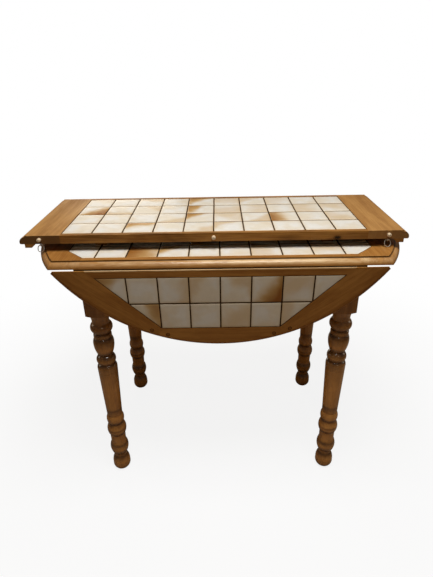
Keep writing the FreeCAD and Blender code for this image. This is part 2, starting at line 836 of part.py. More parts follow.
def catch_eye(sign):
    """A screw eye under the leaf; its ring stands across the X axis, so that a catch swings in it."""
    middle = V(sign * dowel_spacing, -extension_depth / 2 + catch_inset, catch_z)
    crown = middle + V(0, 0, eye_radius)
    ring = wire_section(crown, V(1, 0, 0), V(0, 0, 1)).revolve(middle, V(1, 0, 0), 360)
    stem = Part.makeCylinder(wire_radius, extension_underside - crown.z, crown)
    return ring.fuse(stem)


def wire_catch(x):
    """A closed wire loop in an eye, swung about the X axis until it lies on the round."""
    bend = catch_width / 2 - wire_radius
    high = V(x, catch_y, catch_z - bend)
    low = V(x, catch_y, catch_z - catch_swing + bend)
    side = V(bend, 0, 0)
    loop = wire_section(high + side, V(1, 0, 0), V(0, 1, 0)).revolve(high, V(0, -1, 0), 180)
    loop = loop.fuse(wire_section(low + side, V(1, 0, 0), V(0, 1, 0)).revolve(low, V(0, 1, 0), 180))
    for place in (low - side, low + side):
        loop = loop.fuse(wire_section(place, V(1, 0, 0), V(0, 1, 0)).extrude(high - low))
    loop = loop.removeSplitter()
    loop.rotate(V(x, catch_y, catch_z), V(1, 0, 0), -catch_lift)
    return loop


def turned_round(shapes):
    """The same pieces on the other side of the seam."""
    for shape in shapes:
        shape.rotate(V(0, 0, 0), V(0, 0, 1), 180)
    return shapes


def hung(shapes):
    """Leaf pieces swung down from level to where the leaf hangs."""
    for shape in shapes:
        shape.rotate(V(0, hinge_y, hinge_z), V(1, 0, 0), -hang_angle)
    return shapes


def front_half():
    """The front half: it has the holes of the seam's dowels."""
    pieces = half_top_pieces()
    level = top - board_thickness / 2
    depth = dowel_reach + dowel_end_gap
    holes = dowel_seats(seam_gap / 2, level, depth, dowel_radius + dowel_fit)
    for name in ("end_boards", "joint_strip"):
        pieces[name] = [shape.cut(holes) for shape in pieces[name]]
    pieces["runners"] = runners(False)
    pieces["loper_keepers"] = keepers(front_loper_spacing)
    return {name: turned_round(shapes) for name, shapes in pieces.items()}


def back_half():
    """The back half: it carries the seam's dowels."""
    pieces = half_top_pieces()
    level = top - board_thickness / 2
    pegs = [dowel(x, seam_gap / 2, level) for x in dowel_places()]
    for name in ("end_boards", "joint_strip"):
        pieces[name] = [shape.cut(pegs) for shape in pieces[name]]
    pieces["seam_dowels"] = pegs
    pieces["runners"] = runners(True)
    pieces["loper_keepers"] = keepers(back_loper_spacing)
    return pieces


def keepers(spacing):
    return [keeper(sign * spacing, y) for sign in (-1, 1) for y in (inner_keeper, outer_keeper)]


def save(name, shapes):
    """Write one node, whose pieces may be several separate solids."""
    solids = [solid for shape in shapes for solid in shape.Solids]
    shape = solids[0] if len(solids) == 1 else Part.makeCompound(solids)
    shape.exportStep("parts/" + name + ".step")


def save_group(prefix, pieces):
    for name, shapes in pieces.items():
        save(prefix + "_" + name, shapes)


def main():
    os.makedirs("parts", exist_ok=True)
    for name_y, side_y in (("front", -1), ("back", 1)):
        for name_x, side_x in (("left", -1), ("right", 1)):
            save(name_y + "_" + name_x + "_leg", [leg(side_x, side_y)])
    save("front_apron", [notched_apron(-1, front_loper_spacing, back_loper_spacing, False)])
    save("back_apron", [notched_apron(1, back_loper_spacing, front_loper_spacing, True)])
    save("left_apron", [short_apron(-1)])
    save("right_apron", [short_apron(1)])
    save("corner_blocks", corner_blocks())
    save("slide_beams", slide_beams())

    save_group("front_half", front_half())
    save_group("back_half", back_half())

    front_leaf = leaf_pieces(front_loper_spacing)
    save_group("front_leaf", {name: turned_round(hung(shapes)) for name, shapes in front_leaf.items()})
    back_leaf = leaf_pieces(back_loper_spacing)
    save_group("back_leaf", {name: hung(shapes) for name, shapes in back_leaf.items()})

    for name, sign in (("left", -1), ("right", 1)):
        save("front_" + name + "_loper", turned_round([loper(-sign * front_loper_spacing)]))
        save("back_" + name + "_loper", [loper(sign * back_loper_spacing)])

    extension = extension_pieces()
    for shapes in extension.values():
        for shape in shapes:
            shape.translate(V(extension_shift_x, extension_shift_y, 0))
    save_group("extension", extension)
    save("left_catch", [wire_catch(extension_shift_x - dowel_spacing)])
    save("right_catch", [wire_catch(extension_shift_x + dowel_spacing)])


main()
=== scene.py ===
import json
import math

import bpy
import numpy as np
from mathutils import Matrix, Vector


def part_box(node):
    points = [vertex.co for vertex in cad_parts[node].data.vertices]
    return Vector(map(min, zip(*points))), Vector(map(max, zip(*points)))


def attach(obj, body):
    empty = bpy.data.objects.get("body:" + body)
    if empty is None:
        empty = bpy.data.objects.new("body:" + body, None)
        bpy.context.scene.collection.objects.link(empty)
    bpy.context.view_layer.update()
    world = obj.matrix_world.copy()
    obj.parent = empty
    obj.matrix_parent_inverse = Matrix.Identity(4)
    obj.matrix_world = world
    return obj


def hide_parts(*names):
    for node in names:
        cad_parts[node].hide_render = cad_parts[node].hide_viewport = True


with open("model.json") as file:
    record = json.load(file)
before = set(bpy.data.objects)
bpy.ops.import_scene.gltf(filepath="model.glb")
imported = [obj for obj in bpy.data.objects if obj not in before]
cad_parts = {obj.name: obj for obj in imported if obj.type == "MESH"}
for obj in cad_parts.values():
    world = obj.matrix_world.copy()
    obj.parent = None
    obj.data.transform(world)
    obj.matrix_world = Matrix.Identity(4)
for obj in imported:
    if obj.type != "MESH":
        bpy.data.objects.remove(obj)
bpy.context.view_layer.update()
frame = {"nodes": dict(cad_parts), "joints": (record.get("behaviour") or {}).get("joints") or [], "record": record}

bl_info = {
    "name": "Tile-Topped Folding Table",
    "version": (1, 0, 0),
    "blender": (4, 5, 0),
    "location": "3D View > Sidebar > Table",
    "description": "Dresses a round, tile-topped folding table with its wood, tiles, pegs and screws",
    "category": "Object",
}

JOINTS = {joint["name"]: joint for joint in frame["joints"]}
SIDES = ("front", "back")
TILED = ("extension", "front_half", "back_half", "front_leaf", "back_leaf")

# Flames of the tiles, one word a tile, row by row from the front edge back, or from the hinge side of a
# leaf outwards. The letter is the depth of the flame and the digit its edge, counted from the right edge
# anticlockwise in eighths of a turn; a dot is a plain tile.
FLAMES = {
    "extension": (
        ".6 .1 b3 .3 t7 t3 .1 .2 .7 .5",
        ".0 .2 .5 t7 b3 T1 t7 B4 .5 T5",
        "B7 t6 t1 .2 b3 T6 T0 .0 T4 T2",
        ".2 .6 t2 .0 b3 T2 t3 T3 .0 .4",
    ),
    "front_half": (
        ".4 .0 D4 b3 .6 .6 T4 .0 T2 .2",
        ".0 t2 .6 .4 b5 .2 .0 t7 .4 .6",
        "t0 .4 .2 b1 .0 .6 t3 .2 .0 T4",
    ),
    "back_half": (
        ".2 T0 .4 .6 t5 .0 b7 .2 .4 .0",
        "b3 .0 .6 t1 .2 .4 .0 T6 .2 t4",
        ".0 .2 t7 .4 B1 .0 .6 .2 t3 .0",
    ),
    "front_leaf": (
        "b3 .2 t0 t3 t1 B7 T3 .0",
        ".. b0 .4 .3 T7 .6 t4 ..",
    ),
    "back_leaf": (
        ".2 t4 .0 b3 .6 .4 t1 .0",
        ".. .0 b5 .4 .2 t0 .6 ..",
    ),
}
# Tan share, brown share and reach across the tile of each depth of flame
DEPTHS = {".": (0.14, 0.0, 0.50), "t": (0.52, 0.05, 0.62), "T": (0.40, 0.03, 1.25),
          "b": (1.0, 0.60, 0.70), "B": (1.0, 1.0, 0.95), "D": (1.0, 1.0, 1.9)}
# How far a flame may turn from its edge, in radians, how far its depth varies, and the span of its seeds
FLAME_TURN = (-0.35, 0.35)
FLAME_VARIES = (0.85, 1.1)
FLAME_SEEDS = (0.0, 40.0)
SEED = 7
# Where a flame is full, how far noise bends it, and where the tile's tan rim starts and ends, all as shares
# of the tile's side from its middle
FLAME_FULL = 0.55
FLAME_BEND = 0.50
TAN_RIM = (0.478, 0.505)
# Shares of a tile's side: room kept about the middle of a cut tile, and the least room that makes a tile;
# then how often a middle is pushed back for it
CUT_ROOM = 0.26
LEAST_ROOM = 0.1
PUSHES = 30
# Sine or cosine that is too small to reckon with, and slack in metres for a corner on a side
PARALLEL = 1e-6
SLACK = 1e-7
# Corners of a tile's rings, points over its rounded rim, and the rings on its crown as shares of its rim
TILE_CORNERS = 48
RIM_POINTS = 5
CROWN_RINGS = np.array([0.85, 0.6, 0.3])

# How dark a turned leg is, real stain and painted shade together in its grooves and on its rings: height above
# the floor in metres, and share of the dark colour
LEG_STAIN_AND_SHADE = (
    (0.000, 0.90), (0.036, 0.38), (0.055, 1.0), (0.066, 0.60), (0.078, 1.0), (0.092, 0.35), (0.108, 1.0),
    (0.120, 0.42), (0.146, 0.42), (0.155, 1.0), (0.165, 0.42), (0.171, 0.80), (0.178, 0.42), (0.199, 1.0),
    (0.208, 0.40), (0.219, 0.42), (0.232, 0.60), (0.249, 0.90), (0.257, 0.50), (0.330, 0.36), (0.394, 0.60),
    (0.407, 0.70), (0.417, 1.0), (0.433, 0.58), (0.445, 1.0), (0.459, 0.90), (0.470, 0.25), (0.508, 1.0),
    (0.516, 0.58), (0.526, 1.0), (0.542, 0.55), (0.592, 0.60),
)
# Wood of single pieces against the common one: shares of its light and of its dark colour, where a share is
# one number, or one each for red, green and blue
TINTS = {
    "leg": (1.9, 1.75),
    # The round's wood is a little darker as painted shade: it gets less light than the loose leaf
    "round": (0.95, 0.95),
    "strips": (0.88, 0.45),
    # The loose leaf's end boards are paler and bluer: a painted sheen of reflected light
    "loose ends": ((1.05, 1.17, 1.42), (1.05, 1.17, 1.42)),
    # The backing board is nearly black as painted shadow under the loose leaf
    "backing": (0.12, 0.12),
}
# Shares of a wood's dark colour on its end faces, in the step of a moulding (gathered stain and painted shade),
# in the painted shadow of the joint and in a knot
SHADES = {"end": 0.42, "step": 0.25, "dirt": 0.05, "knot": 0.12}
# Where the rubbed stain and its painted highlight start, above the rule rail's underside, and where both are
# strongest, below its face; then both below the hinge rail's lip; all in metres
WEAR_AND_HIGHLIGHT_STARTS = 0.006
WEAR_AND_HIGHLIGHT_FULL = 0.005
LIP_STARTS = 0.0036
LIP_FULL = 0.0016
# Where the moulding gets less rubbing and less painted highlight, as places along X: on the left, and at both
# ends, down to a least share
WORN_AND_LIT_FROM_LEFT = (-0.5, 0.1)
WORN_AND_LIT_TO_ENDS = (0.35, 0.43)
LEAST_WORN_AND_LIT = 0.4
# Soft edges in metres: below the flat face over the step, below the step, and below and above the seam
FACE_EDGE = (-0.0008, -0.0002)
STEP_EDGE = (-0.0005, -0.0001)
SEAM_EDGE = (-0.0006, 0.0012)
# Shares of the stain and painted shade gathered in the step, and of the painted shadow of the joint below the
# seam
STEP_STAIN_AND_SHADE = 0.85
JOINT_SHADOW_SHARE = 0.94
# How squarely a face looks along the grain to be an end face, and the strip between left and right ends
END_FACE = (0.85, 0.95)
MIDDLE = (-0.1, 0.1)
# Knot: how its distances are squeezed on each axis, how far noise moves its rim, and where the rim fades
KNOT_SQUEEZE = (0.40, 0.2, 0.75)
KNOT_ROUGH = 0.004
KNOT_RIM = (0.0035, 0.0075)
# Turn that lays the grain's X along an axis, and the share of the mitred boards' run along X and down
GRAIN_TURNS = {"x": (0, 0, 0), "y": (0, 0, -math.pi / 2), "z": (0, math.pi / 2, 0)}
MITRE_ALONG = 0.785
MITRE_DOWN = 0.62

# Pegs of a leaf in metres: places along it and out from its hinge edge, and how far that is from the tiles
PEG_SPOTS = ((-0.182, 0.1607), (-0.141, 0.1757), (0.141, 0.1757), (0.182, 0.1607))
PEG_EDGE = 0.0015
# Rings of a peg from its foot up: share of its radius, and lift over the leaf's face; then the crown's lift
PEG_RINGS = np.array([(1.0, -0.002), (1.0, 0.0), (0.93, 0.00022), (0.7, 0.0004), (0.35, 0.00048)])
PEG_CROWN = 0.00051
PEG_CORNERS = 20
# Roughness of the metals
ROUGHNESS = {"wire": 0.32, "hinge": 0.46, "screw": 0.4}
# Screws of a hinge plate in metres: half the plate's length, slack for its flat underside, and the screws'
# places along it and out from the hinge line
PLATE_HALF = 0.030
FLAT = 1e-4
SCREW_ALONG = np.array([-0.021, 0.0, 0.021])
SCREW_OUT = np.array([0.0205, 0.0285, 0.0205])
# Lines of a screw head's grid along and across its slot, the slot's half width, and shares of the head's
# rise at the slot's floor and behind the plate's face; each screw is turned on by an angle in radians
SLOT_LINES = np.linspace(-1, 1, 13)
CROSS_LINES = np.array([-1, -0.75, -0.5, -0.25, -0.15, -0.13, 0.13, 0.15, 0.25, 0.5, 0.75, 1])
SLOT_HALF = 0.14
SLOT_FLOOR = 0.1
SUNK = 0.4
SCREW_TURN = 1.9

# Lamps: place and aim of the one overhead, then each fill's power setting, side and place, and their aim
OVERHEAD_PLACE = (0.1, -0.55, 2.6)
OVERHEAD_AIM = (0.0, 0.0, 0.7)
FILLS = {
    "front fill": ("fill", 0.2, (0.7, -2.7, 2.0)),
    "back fill": ("far_fill", 1.0, (-0.9, 2.8, 0.9)),
    "left fill": ("side_fill", 0.8, (-2.8, 0.3, 1.5)),
    "right fill": ("side_fill", 0.8, (2.8, 0.3, 1.5)),
}
FILL_AIM = (0.0, 0.0, 0.5)
WHITE = (1.0, 1.0, 1.0)
# Corners of the floor's rings, their radii as shares of its own, and where it fades to white, in metres
FLOOR_CORNERS = 64
FLOOR_RINGS = np.linspace(1.0, 0.1, 10)
FADE = (0.6, 1.6)
# Width of the camera's frame in millimetres
SENSOR_WIDTH = 36.0


class TableTiles(bpy.types.PropertyGroup):
    """Sizes and glazes of the tiles."""
    size: bpy.props.FloatProperty(
        name="Tile Size", description="Side of a whole tile", default=0.075, min=0.01, unit="LENGTH")
    joint: bpy.props.FloatProperty(
        name="Joint", description="Gap between tiles", default=0.003, min=0.0005, unit="LENGTH")
    arris: bpy.props.FloatProperty(
        name="Arris", description="Radius of a tile's rounded rim", default=0.0016, min=0.0001,
        unit="LENGTH")
    crown: bpy.props.FloatProperty(
        name="Crown", description="Rise of a tile's middle over its rim", default=0.00018, min=0.0,
        unit="LENGTH")
    ivory: bpy.props.FloatVectorProperty(
        name="Ivory", description="Ground colour of the glaze", default=(0.76, 0.68, 0.55),
        subtype="COLOR", min=0, max=1)
    pale: bpy.props.FloatVectorProperty(
        name="Pale", description="Cool clouds in the ground of the glaze", default=(0.79, 0.755, 0.69),
        subtype="COLOR", min=0, max=1)
    tan: bpy.props.FloatVectorProperty(
        name="Tan", description="Soft colour of the flames", default=(0.60, 0.38, 0.14),
        subtype="COLOR", min=0, max=1)
    brown: bpy.props.FloatVectorProperty(
        name="Brown", description="Deep colour of the flames", default=(0.27, 0.090, 0.010),
        subtype="COLOR", min=0, max=1)
    grout: bpy.props.FloatVectorProperty(
        name="Grout", description="Colour of the joints", default=(0.034, 0.017, 0.008),
        subtype="COLOR", min=0, max=1)


class TableWood(bpy.types.PropertyGroup):
    """Colours of the wood, and sizes of its small parts."""
    stain_light: bpy.props.FloatVectorProperty(
        name="Stain Light", description="Early wood under the stain", default=(0.46, 0.210, 0.050),
        subtype="COLOR", min=0, max=1)
    stain_dark: bpy.props.FloatVectorProperty(
        name="Stain Dark", description="Late wood under the stain", default=(0.27, 0.105, 0.020),
        subtype="COLOR", min=0, max=1)
    plain_light: bpy.props.FloatVectorProperty(
        name="Plain Light", description="Early wood of hidden parts", default=(0.56, 0.39, 0.22),
        subtype="COLOR", min=0, max=1)
    plain_dark: bpy.props.FloatVectorProperty(
        name="Plain Dark", description="Late wood of hidden parts", default=(0.37, 0.23, 0.115),
        subtype="COLOR", min=0, max=1)
    pale_light: bpy.props.FloatVectorProperty(
        name="Dowel Light", description="Ground colour of the dowels", default=(0.80, 0.66, 0.46),
        subtype="COLOR", min=0, max=1)
    pale_dark: bpy.props.FloatVectorProperty(
        name="Dowel Dark", description="Fibre colour of the dowels", default=(0.62, 0.46, 0.28),
        subtype="COLOR", min=0, max=1)
    # The Worn Edge colour is both rubbed stain and a painted highlight on the edges
    worn: bpy.props.FloatVectorProperty(
        name="Worn Edge", description="Colour where the stain is rubbed off", default=(0.72, 0.50, 0.26),
        subtype="COLOR", min=0, max=1)
    # On the legs the groove colour is stain and painted shade together; on the pegs it is their glue line
    groove: bpy.props.FloatVectorProperty(
        name="Groove", description="Colour of the stain in turned grooves", default=(0.055, 0.016, 0.003),
        subtype="COLOR", min=0, max=1)
    edge_step: bpy.props.FloatProperty(
        name="Edge Step", description="Height of the step inside the moulded edge", default=0.003,
        min=0.0005, unit="LENGTH")
    peg_radius: bpy.props.FloatProperty(
        name="Peg Radius", description="Radius of the pegs by the mitres", default=0.0056, min=0.001,
        unit="LENGTH")
    knot: bpy.props.FloatVectorProperty(
        name="Knot", description="Place of the knot on the loose leaf's edge",
        default=(0.298, -0.203, 0.792), subtype="TRANSLATION", unit="LENGTH")


class TableMetal(bpy.types.PropertyGroup):
    """Colours and sizes of the metal."""
    wire: bpy.props.FloatVectorProperty(
        name="Wire", description="Colour of the wire catches and their eyes", default=(0.74, 0.73, 0.70),
        subtype="COLOR", min=0, max=1)
    hinge: bpy.props.FloatVectorProperty(
        name="Hinge", description="Colour of the hinges and their screws", default=(0.46, 0.43, 0.36),
        subtype="COLOR", min=0, max=1)
    screw_radius: bpy.props.FloatProperty(
        name="Screw Radius", description="Radius of a screw's head", default=0.0034, min=0.001,
        unit="LENGTH")
    screw_rise: bpy.props.FloatProperty(
        name="Screw Rise", description="Rise of a screw's head over its plate", default=0.0008,
        min=0.0001, unit="LENGTH")


class TableStage(bpy.types.PropertyGroup):
    """Floor, light and camera."""
    floor: bpy.props.FloatVectorProperty(
        name="Floor", description="Colour of the floor as it is seen", default=(0.93, 0.93, 0.93),
        subtype="COLOR", min=0, max=1)
    bounce: bpy.props.FloatVectorProperty(
        name="Bounce", description="Colour of the floor's light on the table", default=(0.42, 0.31, 0.20),
        subtype="COLOR", min=0, max=1)
    floor_radius: bpy.props.FloatProperty(
        name="Floor Radius", description="Radius of the floor", default=9.0, min=1.0, unit="LENGTH")
    paleness: bpy.props.FloatProperty(
        name="Paleness", description="Share of plain white in the floor's middle", default=0.87,
        min=0.0, max=1.0, subtype="FACTOR")
    overhead: bpy.props.FloatProperty(
        name="Overhead", description="Power of the overhead soft box", default=43.0, min=0.0, unit="POWER")
    overhead_size: bpy.props.FloatProperty(
        name="Overhead Size", description="Side of the overhead soft box", default=1.0, min=0.1,
        unit="LENGTH")
    fill: bpy.props.FloatProperty(
        name="Fill", description="Power of the front fill", default=2.5, min=0.0, unit="POWER")
    far_fill: bpy.props.FloatProperty(
        name="Far Fill", description="Power of the fill from behind", default=12.0, min=0.0, unit="POWER")
    side_fill: bpy.props.FloatProperty(
        name="Side Fill", description="Power of the fill from each side", default=5.0, min=0.0,
        unit="POWER")
    warmth: bpy.props.FloatVectorProperty(
        name="Warmth", description="Colour of the fills and of the even light", default=(1.0, 0.84, 0.64),
        subtype="COLOR", min=0, max=1)
    mirrored: bpy.props.FloatProperty(
        name="Mirrored", description="Brightness of the background in reflections", default=0.10,
        min=0.0, max=1.0, subtype="FACTOR")
    ambient: bpy.props.FloatProperty(
        name="Ambient", description="Strength of the even light from all sides", default=0.06,
        min=0.0, max=1.0, subtype="FACTOR")
    eye: bpy.props.FloatVectorProperty(
        name="Eye", description="Place of the camera", default=(-0.002, -1.2665, 1.1901),
        subtype="TRANSLATION", unit="LENGTH")
    pitch: bpy.props.FloatProperty(
        name="Pitch", description="Tilt of the camera below the level", default=math.radians(26.82),
        subtype="ANGLE", unit="ROTATION")
    yaw: bpy.props.FloatProperty(
        name="Yaw", description="Turn of the camera to the right", default=math.radians(-0.438),
        subtype="ANGLE", unit="ROTATION")
    roll: bpy.props.FloatProperty(
        name="Roll", description="Roll of the camera", default=math.radians(-1.04), subtype="ANGLE",
        unit="ROTATION")
    lens: bpy.props.FloatProperty(
        name="Lens", description="Focal length in millimetres on a 36 mm frame", default=27.786, min=1.0,
        unit="CAMERA")


def set_inputs(tree, node, inputs):
    """Sets a node's inputs to values, or links them to sockets."""
    for key, value in inputs.items():
        if isinstance(value, bpy.types.NodeSocket):
            tree.links.new(value, node.inputs[key])
        else:
            node.inputs[key].default_value = value


def add_node(tree, kind, inputs=None, **settings):
    """A shader node with its settings and inputs."""
    made = tree.nodes.new(kind)
    for name, value in settings.items():
        setattr(made, name, value)
    set_inputs(tree, made, inputs or {})
    return made


def calc(tree, operation, first, second=0.0, third=0.0):
    """The result of one sum."""
    return add_node(tree, "ShaderNodeMath", {0: first, 1: second, 2: third}, operation=operation).outputs[0]


def times(tree, first, second):
    """Two values multiplied."""
    return calc(tree, "MULTIPLY", first, second)


def rest(tree, share):
    """What a share leaves of 1."""
    return calc(tree, "SUBTRACT", 1.0, share)


def smooth(tree, value, low, high, about=0.0):
    """0 below low, 1 above high, and a smooth step between them, both counted from a place."""
    inputs = {"Value": value, "From Min": about + low, "From Max": about + high}
    made = add_node(tree, "ShaderNodeMapRange", inputs, interpolation_type="SMOOTHSTEP", clamp=True)
    return made.outputs["Result"]


def spread(tree, value, low, high):
    """A value from 0 to 1, carried to the range from low to high."""
    inputs = {"Value": value, "To Min": low, "To Max": high}
    return add_node(tree, "ShaderNodeMapRange", inputs, clamp=True).outputs["Result"]


def blend(tree, share, first, second, kind="MIX"):
    """Two colours mixed by a share."""
    inputs = {0: share, 6: first, 7: second}
    return add_node(tree, "ShaderNodeMix", inputs, data_type="RGBA", blend_type=kind).outputs[2]


def toned(tree, colour, tone):
    """A colour times a grey tone."""
    grey = add_node(tree, "ShaderNodeCombineColor", {0: tone, 1: tone, 2: tone}).outputs[0]
    return blend(tree, 1.0, colour, grey, "MULTIPLY")


def split(tree, vector):
    """The X, Y and Z of a vector."""
    return add_node(tree, "ShaderNodeSeparateXYZ", {0: vector}).outputs


def joined(tree, x, y, z):
    """A vector from its X, Y and Z."""
    return add_node(tree, "ShaderNodeCombineXYZ", {0: x, 1: y, 2: z}).outputs[0]


def length_of(tree, vector):
    """How long a vector is."""
    return add_node(tree, "ShaderNodeVectorMath", {0: vector}, operation="LENGTH").outputs["Value"]


def noise(tree, vector, scale, detail=2.0, roughness=0.5, distortion=0.0):
    """Soft noise from 0 to 1."""
    inputs = {"Vector": vector, "Scale": scale, "Detail": detail, "Roughness": roughness,
              "Distortion": distortion}
    return add_node(tree, "ShaderNodeTexNoise", inputs).outputs["Fac"]


def stretched(tree, vector, scale):
    """A vector scaled on each axis."""
    return add_node(tree, "ShaderNodeMapping", {"Vector": vector, "Scale": scale}).outputs[0]


def grain_noise(tree, vector, along, across, detail, roughness=0.5, distortion=0.0):
    """Noise drawn out along X: its scale along the grain, and across it."""
    return noise(tree, stretched(tree, vector, (along, across, across)), 1.0, detail, roughness, distortion)


def bump(tree, height, strength, distance):
    """A normal that is bumped by a height."""
    inputs = {"Height": height, "Strength": strength, "Distance": distance}
    return add_node(tree, "ShaderNodeBump", inputs).outputs[0]


def rgba(colour, share=1.0):
    """A colour times a share, with full opacity."""
    return (*np.multiply(colour, share), 1.0)


def tinted(colours, piece):
    """The light and the dark colour of a wood, times the shares of a single piece."""
    return [np.multiply(colour, share) for colour, share in zip(colours, TINTS[piece])]


def new_group(name, inputs, outputs):
    """An empty shader node group with named sockets, and its two end nodes."""
    group = bpy.data.node_groups.new(name, "ShaderNodeTree")
    for way, sockets in (("INPUT", inputs), ("OUTPUT", outputs)):
        for socket, kind in sockets.items():
            group.interface.new_socket(socket, in_out=way, socket_type="NodeSocket" + kind)
    return group, add_node(group, "NodeGroupInput"), add_node(group, "NodeGroupOutput")


def wood_grain_group():
    """Grain that runs along X: clouds, broad streaks, faint growth bands, fine fibres and short pores.

    They are mixed into one tone from 0 to 1, which blends the dark colour into the light one. The bands
    are a sine of the place across the grain, which wanders with slow noise.
    """
    if "wood grain" in bpy.data.node_groups:
        return bpy.data.node_groups["wood grain"]
    group, start, end = new_group("wood grain", {"Vector": "Vector", "Light": "Color", "Dark": "Color"},
                                  {"Color": "Color", "Roughness": "Float", "Height": "Float"})
    vector = start.outputs["Vector"]
    clouds = grain_noise(group, vector, along=5.0, across=16.0, detail=3.0, roughness=0.55, distortion=0.6)
    streaks = grain_noise(group, vector, along=2.2, across=60.0, detail=4.0, roughness=0.62, distortion=0.5)
    slow = grain_noise(group, vector, along=1.1, across=6.0, detail=2.0)
    fibres = grain_noise(group, vector, along=14.0, across=520.0, detail=3.0, roughness=0.6)
    pores = smooth(group, grain_noise(group, vector, along=55.0, across=1700.0, detail=1.0), 0.60, 0.72)
    _, y, z = split(group, vector)
    across = calc(group, "ADD", y, times(group, z, 0.6))
    phase = calc(group, "MULTIPLY_ADD", across, 330.0, times(group, slow, 60.0))
    bands = calc(group, "MULTIPLY_ADD", calc(group, "SINE", phase), 0.5, 0.5)
    tone = times(group, clouds, 0.55)
    for layer, weight in ((streaks, 0.42), (bands, 0.05), (fibres, 0.36)):
        tone = calc(group, "MULTIPLY_ADD", layer, weight, tone)
    tone = smooth(group, tone, 0.48, 0.90)
    colour = blend(group, tone, start.outputs["Dark"], start.outputs["Light"])
    set_inputs(group, end, {
        "Color": toned(group, colour, calc(group, "MULTIPLY_ADD", pores, -0.22, 1.0)),
        "Roughness": spread(group, rest(group, tone), 0.36, 0.56),
        "Height": calc(group, "MULTIPLY_ADD", pores, -0.6, fibres),
    })
    return group


def edge_wear_and_highlight_group():
    """Rubbed places on an edge: a level from 0 to 1, broken up by long patches and short scratches along X.

    The mask stands for rubbed stain and a painted highlight together. The breaks carry the level's share from
    the least to the most.
    """
    if "edge wear" in bpy.data.node_groups:
        return bpy.data.node_groups["edge wear"]
    group, start, end = new_group("edge wear", {"Vector": "Vector", "Level": "Float", "Least": "Float",
                                                "Most": "Float"}, {"Mask": "Float"})
    vector = start.outputs["Vector"]
    patches = grain_noise(group, vector, along=9.0, across=40.0, detail=3.0, roughness=0.6)
    scratches = grain_noise(group, vector, along=45.0, across=600.0, detail=3.0, roughness=0.65)
    broken = calc(group, "MULTIPLY_ADD", scratches, 0.5, times(group, patches, 0.6))
    share = spread(group, smooth(group, broken, 0.42, 0.68), start.outputs["Least"], start.outputs["Most"])
    set_inputs(group, end, {"Mask": times(group, share, start.outputs["Level"])})
    return group


def new_material(name):
    """An empty material with a Principled shader, and its tree, shader and texture coordinates."""
    material = bpy.data.materials.new(name)
    material.use_nodes = True
    tree = material.node_tree
    tree.nodes.clear()
    shader = add_node(tree, "ShaderNodeBsdfPrincipled")
    add_node(tree, "ShaderNodeOutputMaterial", {"Surface": shader.outputs[0]})
    coordinates = add_node(tree, "ShaderNodeTexCoord")
    return material, tree, shader, coordinates


def grain_along(tree, coordinates, direction):
    """Object coordinates turned so that the grain's X runs along a direction of the object.

    The mitre is the run of both side boards of a leaf, down and towards the middle.
    """
    place = coordinates.outputs["Object"]
    if direction == "mitre":
        x, y, z = split(tree, place)
        away = calc(tree, "ABSOLUTE", x)
        along = calc(tree, "MULTIPLY_ADD", z, -MITRE_DOWN, times(tree, away, -MITRE_ALONG))
        over = calc(tree, "MULTIPLY_ADD", z, -MITRE_ALONG, times(tree, away, MITRE_DOWN))
        return joined(tree, along, over, y)
    inputs = {"Vector": place, "Rotation": GRAIN_TURNS[direction]}
    return add_node(tree, "ShaderNodeMapping", inputs).outputs[0]


def lay_grain(tree, vector, light, dark):
    """The wood's grain in a material, between its two colours."""
    inputs = {"Vector": vector, "Light": rgba(light), "Dark": rgba(dark)}
    return add_node(tree, "ShaderNodeGroup", inputs, node_tree=wood_grain_group()).outputs


